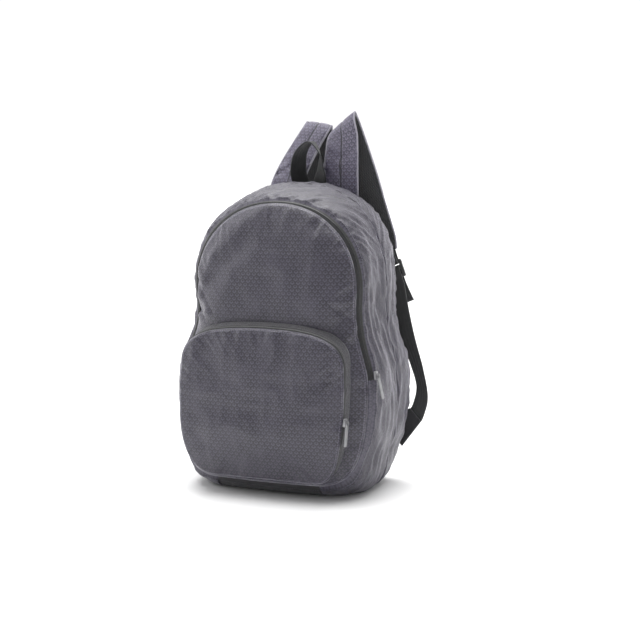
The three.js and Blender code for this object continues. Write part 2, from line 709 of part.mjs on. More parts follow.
function buildSliders() {
  const zipMiddle = (i) => {
    const edge = gussetPoint(i, 0);
    return edge.setY(edge.y - seamGap - zipWidth / 2);
  };
  const [foot, next] = [zipFirst, zipFirst + 1].map(zipMiddle);
  const place = foot.clone().lerp(next, (sliderLength / 2 + seamGap) / foot.distanceTo(next));
  const backward = new THREE.Vector3(0, 1, 0);
  addSlider("main_zip", zipFrame(place, foot, next, backward), pullLift);

  const pocketMiddle = (i) => {
    const { root, face } = pocketSides[i];
    return face.clone().lerp(root, pocketZipWidth / 2 / root.distanceTo(face));
  };
  const pocketRow = zipFirst - 1;
  const { root, face } = pocketSides[pocketRow];
  const across = root.clone().sub(face).normalize();
  const [below, middle, above] = [-1, 0, 1].map((step) => pocketMiddle(pocketRow + step));
  addSlider("pocket_zip", zipFrame(middle, below, above, across), 0);
}

// Rows of points across a ribbon, sampled along stations that each hold a place and the way across.
function ribbonRows(stations, steps, columns) {
  const places = new THREE.CatmullRomCurve3(stations.map((station) => station.place));
  const ways = new THREE.CatmullRomCurve3(stations.map((station) => station.across));
  return range(0, steps).map((k) => {
    const place = places.getPoint(k / steps);
    const across = ways.getPoint(k / steps);
    return range(0, columns).map((c) => place.clone().addScaledVector(across, c / columns - 0.5));
  });
}

// A strap's stations, with the way across running inwards so that its outer face looks forward at the
// root and up over the fold. Both straps are built on the right, and the left one is then mirrored.
function strapPath(stations) {
  const low = stations.findLastIndex((station) => station.up > 0);
  return stations.map((station, i) => {
    const up = station.up * (i > low ? strapDrop : strapRise);
    const tilt = radians(station.tilt);
    const turn = radians(station.turn);
    const level = Math.cos(tilt);
    const out = new THREE.Vector3(level * Math.cos(turn), level * Math.sin(turn), Math.sin(tilt));
    const x = strapSpread + station.out * strapSplay;
    return {
      place: new THREE.Vector3(x, strapRootY + station.back * strapReach, backTop + up),
      across: out.multiplyScalar(-strapWidth * station.wide),
    };
  });
}

// The ladder lock's frame at a strap's end: x across it, y up the strap and z out of its outer face.
function lockFrame(strapRows) {
  const strapThick = strapCloth + layerGap + strapPad;
  const rows = liftedRows(strapRows, -strapThick / 2);
  const end = rows[strapSteps][1];
  const up = rows[strapSteps - 1][1].clone().sub(end).normalize();
  const inwards = rows[strapSteps][2].clone().sub(rows[strapSteps][0]).normalize();
  const out = new THREE.Vector3().crossVectors(inwards, up).normalize();
  const x = new THREE.Vector3().crossVectors(up, out);
  return new THREE.Matrix4().makeBasis(x, up, out).setPosition(end.clone().addScaledVector(up, -lockDrop));
}

const lockHeight = 3 * barHeight + upperSlot + lowerSlot;
const wrapInner = lockThick / 2 + slotPlay;
const outerTurn = wrapInner + webbingWall;
const topBarFoot = lockHeight / 2 - barHeight;
const middleBarTop = topBarFoot - upperSlot;
const ribbonWidth = webbingWidth - webbingPlay;

function lockGeometry() {
  const lock = roundedPlate(0, 0, lockWidth, lockHeight, lockRadius);
  const slotWidth = lockWidth - 2 * barHeight;
  const upperMiddle = topBarFoot - upperSlot / 2;
  const lowerMiddle = barHeight + lowerSlot / 2 - lockHeight / 2;
  lock.holes.push(roundedPlate(0, upperMiddle, slotWidth, upperSlot, slotPlay / 2, THREE.Path));
  lock.holes.push(roundedPlate(0, lowerMiddle, slotWidth, lowerSlot, slotPlay / 2, THREE.Path));
  return extruded(lock, lockThick).translate(0, 0, -lockThick / 2);
}

// Rows in the lock's frame, running along +x or, where the ribbon climbs its front, along -x.
const lockRow = (y, z, way) => range(0, 1).map((c) => new THREE.Vector3(way * ribbonWidth * (c - 0.5), y, z));

function turnRows(middle, side, way) {
  return range(0, wrapSteps).map((k) => {
    const angle = (Math.PI * k) / wrapSteps;
    return lockRow(middle + side * outerTurn * Math.sin(angle), outerTurn * Math.cos(angle), way);
  });
}

function anchorFrame() {
  const corner = backOutline.reduce((best, point) =>
    point.x > 0 && Math.abs(point.y - anchorHeight) < Math.abs(best.y - anchorHeight) ? point : best,
  );
  const out = new THREE.Vector3(1, 0, anchorRise).normalize();
  const back = new THREE.Vector3(0, 1, 0);
  const aside = new THREE.Vector3().crossVectors(back, out);
  const y = backReach + seamGap + clothWall + anchorStandOff;
  const place = new THREE.Vector3(corner.x - anchorInset, y, corner.y);
  return new THREE.Matrix4().makeBasis(out, aside, back).setPosition(place);
}

function anchorGeometry() {
  const tip = anchorReach + anchorInset;
  const shape = new THREE.Shape();
  shape.moveTo(0, -anchorBase / 2);
  shape.lineTo(tip, -webbingWidth / 2);
  shape.lineTo(tip, webbingWidth / 2);
  shape.lineTo(0, anchorBase / 2);
  shape.closePath();
  return extruded(shape, anchorWall);
}

// The webbing climbs from its tail over the lock's middle bar, leaves behind the bars, bows out and comes
// down behind the anchor tab.
function webbingRows(frame, tab) {
  const tailTop = middleBarTop - lockHeight * tailDrop;
  const tail = range(0, tailSteps).map((k) => {
    const share = 1 - k / tailSteps;
    return lockRow(tailTop - tailLength * share, outerTurn + tailFlare * share ** tailCurl, -1);
  });
  const wrap = turnRows(middleBarTop - barInset, 1, -1);
  const inFrame = [...tail, ...wrap].map((row) => row.map((point) => point.applyMatrix4(frame)));
  const leave = new THREE.Vector3(0, middleBarTop - lockHeight, -outerTurn).applyMatrix4(frame);
  const behind = anchorWall + webbingWall + seamGap;
  const tip = new THREE.Vector3(anchorInset + anchorReach + seamGap, 0, behind).applyMatrix4(tab);
  const landing = new THREE.Vector3(anchorInset + anchorReach / 3, 0, behind).applyMatrix4(tab);
  const wayAtLock = new THREE.Vector3(-1, 0, 0).transformDirection(frame).multiplyScalar(ribbonWidth);
  const wayAtTab = new THREE.Vector3(0, 1, 0).transformDirection(tab).multiplyScalar(ribbonWidth);
  const strand = strandStations.map(({ along, out, back }) => ({
    place: leave.clone().lerp(tip, along).add(new THREE.Vector3(out, back, 0)),
    across: wayAtLock.clone().lerp(wayAtTab, ease(along)).setLength(ribbonWidth),
  }));
  strand.push({ place: tip, across: wayAtTab.clone() }, { place: landing, across: wayAtTab.clone() });
  return [...inFrame, ...ribbonRows(strand, strandSteps, 1)];
}

// One strap with its hardware, built on the right. The left one sits in a mirrored group.
function buildStrap(side, stations) {
  const half = new THREE.Group();
  half.scale.x = side === "left" ? -1 : 1;
  bagGroup.add(half);
  const add = (name, geometry, material) => addPiece(`${name}_${side}`, geometry, material, half);
  const rows = ribbonRows(strapPath(stations), strapSteps, 2);
  const frame = lockFrame(rows);
  const tab = anchorFrame();
  add("strap", sheetGeometry(rows, strapCloth), finish.print);
  add("strap_lining", sheetGeometry(liftedRows(rows, -strapCloth - layerGap), strapPad), finish.mesh);
  add("ladder_lock", lockGeometry(), finish.plastic).applyMatrix4(frame);
  const tabTop = lockDrop + tabOverlap;
  const turn = turnRows(topBarFoot + barInset, -1, 1);
  const legs = outerTurn + tabSpread;
  const tabRows = [lockRow(tabTop, legs, 1), ...turn, lockRow(tabTop, -legs, 1)];
  add("lock_tab", sheetGeometry(tabRows, webbingWall), finish.webbing).applyMatrix4(frame);
  add("strap_anchor", anchorGeometry(), finish.blackNylon).applyMatrix4(tab);
  add("webbing", sheetGeometry(webbingRows(frame, tab), webbingWall), finish.webbing);
}

function buildHaulLoop() {
  const stations = loopStations.map(({ along, back, up, turn }, i) => {
    const angle = radians(turn);
    const side = i < loopStations.length / 2 - 1 ? 1 : -1;
    const x = loopShift + along * loopSpan;
    const y = loopRootY + back * webbingWidth;
    return {
      place: new THREE.Vector3(x, y, backTop + up * loopRise),
      across: new THREE.Vector3(side * Math.cos(angle), Math.sin(angle), 0).multiplyScalar(ribbonWidth),
    };
  });
  addPiece("haul_loop", sheetGeometry(ribbonRows(stations, loopSteps, 1), loopWall), finish.webbing);
}

buildBody();
buildPocket();
buildSliders();
buildStrap("right", rightStations);
buildStrap("left", leftStations);
buildHaulLoop();

export default bagGroup;
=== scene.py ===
"""A light packable daypack that stands on its black base: printed nylon body, domed front pocket with a black
zip gusset, flat shoulder straps with webbing and ladder locks, and a haul loop. Shapes are worked out in
millimetres, +Z up, front towards -Y, and written to the meshes in metres."""
import math

import bpy
import numpy as np
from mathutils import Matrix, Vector


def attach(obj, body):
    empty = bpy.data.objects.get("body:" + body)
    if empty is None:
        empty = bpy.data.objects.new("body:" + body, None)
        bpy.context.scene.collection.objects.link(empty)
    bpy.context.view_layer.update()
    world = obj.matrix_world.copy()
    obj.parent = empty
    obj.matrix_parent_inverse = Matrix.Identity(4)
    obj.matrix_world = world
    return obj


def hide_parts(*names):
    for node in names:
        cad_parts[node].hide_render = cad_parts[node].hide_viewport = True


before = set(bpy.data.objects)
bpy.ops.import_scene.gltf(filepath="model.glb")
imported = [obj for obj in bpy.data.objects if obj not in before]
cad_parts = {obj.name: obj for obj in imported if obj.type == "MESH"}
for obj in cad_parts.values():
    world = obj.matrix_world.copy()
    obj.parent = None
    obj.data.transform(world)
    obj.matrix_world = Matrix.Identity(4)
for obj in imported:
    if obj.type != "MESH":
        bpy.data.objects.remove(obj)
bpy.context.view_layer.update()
scene = bpy.context.scene

# Camera, fitted to the photograph
CAMERA_EYE = (0.6902, -1.6420, 0.4598)
CAMERA_AIM = (0.0331, 0.0181, 0.2266)
CAMERA_LENS = 72.34
SENSOR_WIDTH = 36.0

# The light: where it comes from, how strong it is and how widely the sun spreads, in degrees
SUN_FROM = (-0.1, 0.18, 1.0)
SUN_STRENGTH = 4.0
SUN_SPREAD = 55
SOFTBOX_PLACE = (-1.5, -0.6, 1.0)
SOFTBOX_AIM = (0, 0, 0.25)
SOFTBOX_POWER = 6
BRIGHT_SIDE = (-0.45, 0.89, 0)

# The bag, in the terms of its solids
BAG_WIDTH = 300
FRONT_TOP = 395
BACK_TOP = 411
FRONT_SEAM_LIFT = 20
BACK_SEAM_LIFT = 16
FRONT_REACH = 77
FRONT_LEAN = 0.07
BACK_REACH = 62
WALL = 1.6
GAP = 0.3
SIDE_CROWN = 8
TOP_CROWN = 13
FLOOR_CROWN = 27
FRONT_BULGE = 24
BACK_BULGE = 5
REAR_SEAM = 0.56
PANEL_CENTRE = 0.48
FOOT_BOW = 20
FOOT_BOW_RISE = 130
PINCH = 0.09
PINCH_HEIGHT = 222
PINCH_TALL = 48
FOLD_FADE = 5
FRONT_FLATNESS = 5
POCKET_FLATNESS = 4
BACK_FLATNESS = 4
GUSSET_FULLNESS = 0.4
TOP_TURN = 1.5
FLOOR_TURN = 1.6
FLOOR_TURN_START = 0.5
ZIP_WIDTH = 6
DRAWN_IN = 6
DRAWN_HEIGHT = 208
DRAWN_TALL = 42
ZIP_SLOPE_TOP = 3.2
ZIP_SLOPE_SIDE = 6.5
ZIP_SLOPE_TURN = 1.3
TAPE_WALL = 1.0
COIL_HALF = 1.5
COIL_HEIGHT = 1.1
TOOTH_PITCH = 0.85
SHORT_TOOTH = 0.72
POCKET_WIDTH = 238
POCKET_TOP = 229
POCKET_BOTTOM = 25
POCKET_STAND_OFF = 14
POCKET_RISE = 85
POCKET_FLARE = 7
POCKET_BULGE = 9
POCKET_CLEARANCE = 1.9
POCKET_GUSSET_LEAST = 12
STRAP_WIDTH = 50
STRAP_CLOTH = 1.6
STRAP_PAD = 2
LAYER_GAP = 0.4
BINDING_RADIUS = 1.4
STRAP_SPREAD = 45
STRAP_RISE = 92
STRAP_DROP = 91
STRAP_REACH = 30
STRAP_SPLAY = 82
WEBBING_WIDTH = 25
WEBBING_WALL = 1.4
LOCK_THICK = 3
BAR_HEIGHT = 4
UPPER_SLOT = 6
LOWER_SLOT = 8
SLOT_PLAY = 0.9
BAR_INSET = 1.4
LOCK_DROP = 30
TAB_OVERLAP = 11
TAB_SPREAD = 1
TAIL_LENGTH = 30
TAIL_FLARE = 7
ANCHOR_HEIGHT = 66
ANCHOR_INSET = 14
ANCHOR_REACH = 32
ANCHOR_RISE = 0.9
ANCHOR_BASE = 44
ANCHOR_WALL = 2
ANCHOR_STAND_OFF = 2.9
LOOP_RISE = 64
LOOP_SPAN = 36
LOOP_SHIFT = -2
LOOP_WALL = 1.6
LOOP_ROOT = 0.3

# The cloth's wall and small relief: how far from a seam puckers begin, how sharp a crumple's crests are,
# where long wrinkles give way to fine ones on the gusset, a strap's stitched middle and crushed root, and
# where the straps' ends press the back flat
SHEET_WALL = 1.2
PUCKER_START = 3.5
CREST_SHARPNESS = 2.6
SECOND_CREST = 0.4
CRINKLE_HEIGHT = 290
CRINKLE_BLEND = 80
SEAM_DIP = 1.5
SEAM_DIP_HALF = 1.6
STRAP_CROWN = 1.1
STRAP_DITCH = 1.2
STRAP_DITCH_HALF = 1.4
STRAP_SEWN = 40
CRUSH_PLACE = 62
CRUSH_REACH = 22
PRESSED_FROM = 360
PRESSED_HALF = 90

# How finely each step of the solids' outlines is divided, and the rings of a panel, which has 8 points on its
# first ring, 16 on its second and so on
FINE = 8
STEPS = {"flat": 3, "corner": 7, "side": 5, "arch": 12}
COUNT = 2 * FINE * sum(STEPS.values())
RINGS = COUNT // 8
ZIP_FIRST = STEPS["flat"] + STEPS["corner"]

OUTLINES = {
    "front": dict(
        flat=0.5, corner_out=0.86, corner_up=0.12, hip=0.965, hip_up=0.38,
        shoulder=0.83, shoulder_up=0.665, full=0.62,
    ),
    "back": dict(
        flat=0.5, corner_out=0.88, corner_up=0.11, hip=1.0, hip_up=0.36,
        shoulder=0.855, shoulder_up=0.64, full=0.66,
    ),
    "pocket": dict(
        flat=0.6, corner_out=0.86, corner_up=0.12, hip=1.0, hip_up=0.62,
        shoulder=0.99, shoulder_up=0.74, full=0.74,
    ),
}

# The print's repeat and marks, the mesh's repeat, and how pale the panels' and the straps' print is; the
# straps' print is made paler as painted light, for the sheen they catch
PRINT_STEP = 8.0
PRINT_ROW = 4.8
ARCH_RADIUS = 3.5
LINE_HALF = 0.75
LOZENGE_HALF = 1.3
MESH_STEP = 3.4
PANEL_TONE = 0.74
# painted light: the straps' print is raised in tone to stand for the sheen on the straps
STRAP_TONE_PAINTED_LIGHT = 2.0

# Folds: from x, z to x, z as shares of the bag's half width and height, then how wide and how deep they are
FRONT_FOLDS = [
    (-0.24, 0.86, -0.66, 0.7, 14, 3.4),
    (-0.36, 0.9, -0.7, 0.76, 11, -2.4),
    (0.8, 0.72, 0.6, 0.57, 12, 3.2),
    (0.7, 0.8, 0.5, 0.62, 16, -2.0),
    (0.8, 0.57, 0.95, 0.43, 10, 2.6),
    (-0.85, 0.6, -0.78, 0.4, 12, 2.8),
    (-0.1, 0.93, 0.3, 0.8, 18, 1.6),
]
FRONT_CREASES = [
    (0.72, 0.6, 0.93, 0.5, 3.5, 2.2),
    (0.6, 0.66, 0.9, 0.57, 3.0, 1.6),
    (0.66, 0.5, 0.88, 0.66, 4.0, -1.6),
    (-0.92, 0.66, -0.66, 0.6, 4.0, 2.2),
    (-0.9, 0.58, -0.6, 0.62, 3.5, -1.8),
    (-0.8, 0.74, -0.55, 0.62, 4.0, 1.6),
    (-0.55, 0.84, -0.72, 0.66, 5.0, -1.5),
]
POCKET_FOLDS = [
    (0.78, 0.5, 0.66, 0.42, 12, 6.0),
    (-0.6, 0.52, -0.3, 0.4, 16, 2.4),
    (0.3, 0.53, 0.1, 0.36, 16, 1.8),
    (-0.7, 0.3, -0.5, 0.14, 14, 2.6),
    (0.72, 0.26, 0.45, 0.12, 15, 2.8),
]

# Sags in the gusset: side, height and depth as shares, then how tall, long and deep they are
GUSSET_SAGS = [
    (1, 0.66, 0.3, 60, 22, 4.0),
    (1, 0.42, 0.5, 44, 36, 4.5),
    (1, 0.84, 0.42, 26, 34, 3.5),
    (-1, 0.6, 0.36, 50, 26, 4.0),
    (-1, 0.34, 0.55, 40, 34, 4.5),
    (-1, 0.9, 0.5, 24, 40, 3.0),
]

# A strap's stations: out, back and up as shares of its splay, reach and rise or drop, tilt and turn in
# degrees, and its width as a share
RIGHT_STATIONS = [
    (0, 0, -0.38, 0, 0, 1),
    (0, 0, -0.1, 0, 0, 1),
    (-0.01, 0.06, 0.3, 2, -2, 1),
    (-0.02, 0.24, 0.72, 14, -9, 1),
    (-0.04, 0.32, 0.91, 28, -18, 1),
    (-0.03, 0.56, 1, 33, -22, 1),
    (0, 0.82, 0.9, 31, -22, 1),
    (0.1, 0.96, 0.6, 24, -18, 1),
    (0.29, 0.97, 0.1, 18, -15, 1),
    (0.48, 0.94, -0.42, 16, -12, 0.96),
    (0.67, 0.9, -0.82, 15, -10, 0.8),
    (0.75, 0.84, -1, 14, -8, 0.62),
]
LEFT_STATIONS = [
    (-0.05, 0, -0.38, 0, 0, 1),
    (-0.05, 0.03, -0.16, 0, 1, 1),
    (-0.07, 0.17, 0.05, 0, 4, 1),
    (-0.14, 0.52, 0.3, 2, 9, 1),
    (-0.36, 0.86, 0.7, 4, 18, 1),
    (-0.49, 1, 0.9, 6, 22, 1),
    (-0.53, 1.2, 0.98, 7, 23, 1),
    (-0.5, 1.44, 0.89, 8, 22, 1),
    (-0.37, 1.62, 0.58, 9, 16, 1),
    (-0.1, 1.66, 0.06, 12, 2, 1),
    (0.36, 1.3, -0.42, 13, -12, 0.96),
    (0.72, 0.9, -0.82, 12, -12, 0.8),
    (0.82, 0.78, -1, 10, -8, 0.62),
]

# The webbing from a lock to its anchor: share of the way, then how far out and back it strays
STRAND = [(0, 0, 0), (0.16, 0, 1), (0.4, 2, 4), (0.64, 9, 7), (0.84, 11, 7), (0.96, 4, 2)]

# The haul loop: along, back and up as shares of its span, the webbing's width and its rise, and its turn
LOOP_STATIONS = [
    (-0.36, 0, -LOOP_ROOT, 0),
    (-0.4, 0.05, 0.03, 8),
    (-0.48, -0.06, 0.36, 40),
    (-0.36, -0.08, 0.78, 66),
    (0.06, -0.08, 1, 90),
    (0.44, -0.08, 0.76, 72),
    (0.5, -0.06, 0.36, 46),
    (0.4, 0.07, 0.03, 12),
    (0.38, 0, -LOOP_ROOT, 0),
]


def ease(share):
    share = np.clip(share, 0.0, 1.0)
    return share * share * (3 - 2 * share)


def mix(start, end, share):
    return start + (end - start) * share


def unit(vectors):
    length = np.linalg.norm(vectors, axis=-1, keepdims=True)
    return vectors / np.maximum(length, 1e-9)


def noise(u, v, seed, size=64):
    """Smooth noise from -1 to 1 over two coordinates, which repeats after size steps."""
    lattice = np.random.default_rng(seed).uniform(-1, 1, (size, size))
    u, v = np.broadcast_arrays(u, v)
    iu, iv = np.floor(u).astype(int), np.floor(v).astype(int)
    fu, fv = ease(u - iu), ease(v - iv)
    right, up = (iu + 1) % size, (iv + 1) % size
    iu, iv = iu % size, iv % size
    return mix(mix(lattice[iu, iv], lattice[right, iv], fu), mix(lattice[iu, up], lattice[right, up], fu), fv)


def puckers(along, away, pitch, reach, depth, seed):
    """Small folds that run away from a seam, are nothing on it, and die out."""
    broad = noise(along / pitch, away / (3 * pitch), seed)
    narrow = noise(along / (0.45 * pitch), away / pitch, seed + 1)
    return depth * (broad + 0.5 * narrow) * ease(away / PUCKER_START) * np.exp(-away / reach)


def crumple(u, v, pitch, depth, seed):
    """Sharp-crested wrinkles, as thin nylon makes them."""
    first = 1 - CREST_SHARPNESS * np.abs(noise(u / pitch, v / pitch, seed))
    second = 1 - CREST_SHARPNESS * np.abs(noise(u / (0.5 * pitch) + 7, v / (0.5 * pitch), seed + 3))
    return depth * (first + SECOND_CREST * second) / (1 + SECOND_CREST)


def bezier(points, count):
    """Points along a curve of 2 or 4 control points, without its last."""
    share = (np.arange(count) / count)[:, None]
    points = np.array(points, float)
    if len(points) == 2:
        return mix(points[0], points[1], share)
    a, b, c, d = points
    rest = 1 - share
    return rest**3 * a + 3 * rest**2 * share * b + 3 * rest * share**2 * c + share**3 * d


def outline(kind, width, bottom, top, pinch_share=0.0):
    """A closed outline in (x, z), from the foot's middle up the right side and down the left."""
    s = OUTLINES[kind]
    half, rise = width / 2, top - bottom
    flat = (s["flat"] * half, bottom)
    hip = (s["hip"] * half, bottom + s["hip_up"] * rise)
    shoulder = (s["shoulder"] * half, bottom + s["shoulder_up"] * rise)
    side_pull = (shoulder[1] - hip[1]) / 3
    upright_pull = (shoulder[0], shoulder[1] + s["full"] * (top - shoulder[1]))
    stretches = [
        ([(0, bottom), flat], "flat"),
        ([flat, (s["corner_out"] * half, bottom), (hip[0], bottom + s["corner_up"] * rise), hip], "corner"),
        ([hip, (hip[0], hip[1] + side_pull), (shoulder[0], shoulder[1] - side_pull), shoulder], "side"),
        ([shoulder, upright_pull, (s["full"] * shoulder[0], top), (0, top)], "arch"),
    ]
    right = np.vstack([bezier(points, STEPS[name] * FINE) for points, name in stretches])
    left = right[:0:-1].copy()
    pinch = PINCH * np.exp(-(((left[:, 1] - PINCH_HEIGHT) / PINCH_TALL) ** 2))
    left[:, 0] *= -(1 - pinch * pinch_share)
    return np.vstack([right, [[0, top]], left])


def outward(line):
    """Outward directions of a closed outline."""
    step = np.roll(line, -1, axis=0) - np.roll(line, 1, axis=0)
    return unit(np.column_stack([step[:, 1], -step[:, 0]]))


def at_index(values, place):
    """Values of a closed outline at fractional places along it."""
    low = np.floor(place).astype(int)
    share = (place - low)[..., None]
    return mix(values[low % len(values)], values[(low + 1) % len(values)], share)


def run_length(points):
    """Distance along the first axis of an array of points."""
    step = np.linalg.norm(np.diff(points, axis=0), axis=-1)
    return np.concatenate([np.zeros((1,) + step.shape[1:]), np.cumsum(step, axis=0)])


def share_of(line, centre, x, z):
    """How far places lie from an outline's centre, as a share of the way to it."""
    angle = np.arctan2(line[:, 1] - centre, line[:, 0])
    reach = np.hypot(line[:, 1] - centre, line[:, 0])
    order = np.argsort(angle)
    wanted = np.arctan2(z - centre, x)
    return np.hypot(z - centre, x) / np.interp(wanted, angle[order], reach[order], period=2 * math.pi)


def fold_depth(folds, x, z):
    """How far a table of folds presses the cloth in, at places in x and z."""
    total = np.zeros(np.broadcast(x, z).shape)
    for from_x, from_z, to_x, to_z, wide, deep in folds:
        start = np.array([from_x * BAG_WIDTH / 2, from_z * FRONT_TOP])
        line = np.array([to_x * BAG_WIDTH / 2, to_z * FRONT_TOP]) - start
        share = np.clip(((x - start[0]) * line[0] + (z - start[1]) * line[1]) / (line @ line), 0, 1)
        away = np.hypot(x - start[0] - share * line[0], z - start[1] - share * line[1])
        total += deep * np.exp(-((away / wide) ** 2))
    return total


def drawn_in(line):
    """An outline with its right side drawn in at half height."""
    pull = DRAWN_IN * np.exp(-(((line[:, 1] - DRAWN_HEIGHT) / DRAWN_TALL) ** 2)) * (line[:, 0] > 0)
    return line - np.column_stack([pull, 0 * pull])


FRONT_LINE = drawn_in(outline("front", BAG_WIDTH, FRONT_SEAM_LIFT, FRONT_TOP, 1))
BACK_LINE = drawn_in(outline("back", BAG_WIDTH, BACK_SEAM_LIFT, BACK_TOP, 0.35))
MIDDLE_OUT = outward((FRONT_LINE + BACK_LINE) / 2)
FACE_LINE = outline("pocket", POCKET_WIDTH, POCKET_BOTTOM, POCKET_TOP)
ROOT_LINE = outline("pocket", POCKET_WIDTH, POCKET_BOTTOM, POCKET_TOP + POCKET_FLARE)
FRONT_CENTRE = mix(FRONT_SEAM_LIFT, FRONT_TOP, PANEL_CENTRE)
BACK_CENTRE = mix(BACK_SEAM_LIFT, BACK_TOP, PANEL_CENTRE)
POCKET_CENTRE = mix(POCKET_BOTTOM, POCKET_TOP, PANEL_CENTRE)
PANEL_STEP = ZIP_WIDTH + 2 * GAP + WALL


def zip_slope():
    """How far in from the seam the zip's inner edge runs: nothing at the foot, most on the sides."""
    rows = np.arange(COUNT)
    from_foot = np.minimum(rows, COUNT - rows) / FINE
    aside = ease(np.abs(outward(FRONT_LINE)[:, 0]) * ZIP_SLOPE_TURN)
    return ease((from_foot - STEPS["flat"]) / STEPS["corner"]) * mix(ZIP_SLOPE_TOP, ZIP_SLOPE_SIDE, aside)


SLOPE = zip_slope()
SLOPE_WAY = -outward(FRONT_LINE) * SLOPE[:, None]
PANEL_LINE = FRONT_LINE + SLOPE_WAY


def front_seam_y(x, z):
    bow = FOOT_BOW * (1 - (2 * x / BAG_WIDTH) ** 2) * (1 - ease(z / FOOT_BOW_RISE))
    return -FRONT_REACH + FRONT_LEAN * z - bow


def front_face_y(x, z, share):
    """The front's outer face. share is how far out from the panel's centre a place lies."""
    pressed = fold_depth(FRONT_FOLDS, x, z) * ease((1 - share) * FOLD_FADE)
    return front_seam_y(x, z) - PANEL_STEP - FRONT_BULGE * (1 - share**FRONT_FLATNESS) + pressed


def back_face_y(share):
    return BACK_REACH + GAP + WALL + BACK_BULGE * (1 - share**BACK_FLATNESS)


def pocket_opens(z):
    return ease((z - POCKET_BOTTOM) / POCKET_RISE)


def pocket_edge_y(z):
    dome = FRONT_BULGE * (1 - share_of(FRONT_LINE, FRONT_CENTRE, 0 * z, z) ** FRONT_FLATNESS)
    stand_off = POCKET_CLEARANCE + WALL + POCKET_STAND_OFF * pocket_opens(z)
    return front_seam_y(0, z) - PANEL_STEP - dome - stand_off


LOOP_ROOT_Y = back_face_y(1 - LOOP_ROOT * LOOP_RISE / (BACK_TOP - BACK_CENTRE)) + GAP + LOOP_WALL
STRAP_ROOT_Y = LOOP_ROOT_Y + GAP


def sag_depth(x, share, z):
    total = np.zeros(np.broadcast(x, share, z).shape)
    for side, up, back, tall, long, deep in GUSSET_SAGS:
        high = (z - up * BACK_TOP) / tall
        far = (share - back) * (FRONT_REACH + BACK_REACH) / long
        total += np.where(np.sign(x) == side, deep * np.exp(-(high**2) - far**2), 0)
    return total


def gusset_points(rows, shares):
    """The gusset's outer face at outline rows and at shares of its depth from front to back."""
    rows, shares = rows[:, None], shares[None, :]
    front, back, out = FRONT_LINE[rows % COUNT], BACK_LINE[rows % COUNT], MIDDLE_OUT[rows % COUNT]
    flat = mix(front, back, shares[..., None])
    upper = mix(SIDE_CROWN, TOP_CROWN, ease(out[..., 1] * TOP_TURN))
    crown = mix(upper, FLOOR_CROWN, ease(-out[..., 1] * FLOOR_TURN - FLOOR_TURN_START))
    free = np.maximum(np.sin(np.pi * shares), 0)
    swell = free**GUSSET_FULLNESS * crown - free * sag_depth(flat[..., 0], shares, flat[..., 1])
    y = mix(front_seam_y(front[..., 0], front[..., 1]), BACK_REACH, shares)
    z = np.maximum(flat[..., 1] + out[..., 1] * swell, 0)
    return np.stack([flat[..., 0] + out[..., 0] * swell, y, z], axis=-1)


def sheet_normals(points):
    """Unit normals of a grid of points, on the side that its rows and columns turn to."""
    return unit(np.cross(np.gradient(points, axis=0), np.gradient(points, axis=1)))


def moved_out(points, height, outside):
    """A grid of points moved along its normals, to the side that the direction outside says."""
    normals = sheet_normals(points)
    side = 1 if (normals * outside).sum() > 0 else -1
    return points + side * normals * height[..., None]


def upright(flat):
    """Directions in x and z as directions in space."""
    return np.stack([flat[:, 0], 0 * flat[:, 0], flat[:, 1]], axis=-1)


class Wire:
    """An output of a material node. Arithmetic on it adds Math nodes."""

    def __init__(self, tree, socket):
        self.tree = tree
        self.socket = socket

    def op(self, name, *others):
        node = self.tree.nodes.new("ShaderNodeMath")
        node.operation = name
        for slot, value in zip(node.inputs, (self, *others)):
            if isinstance(value, Wire):
                self.tree.links.new(value.socket, slot)
            else:
                slot.default_value = value
        return Wire(self.tree, node.outputs[0])

    def __add__(self, other):
        return self.op("ADD", other)

    def __sub__(self, other):
        return self.op("SUBTRACT", other)

    def __mul__(self, other):
        return self.op("MULTIPLY", other)

    def less(self, limit, soft):
        """1 where this is under a limit, falling to 0 over soft above and below it."""
        node = self.tree.nodes.new("ShaderNodeMapRange")
        node.interpolation_type = "SMOOTHSTEP"
        self.tree.links.new(self.socket, node.inputs["Value"])
        node.inputs["From Min"].default_value = limit + soft
        node.inputs["From Max"].default_value = limit - soft
        return Wire(self.tree, node.outputs["Result"])


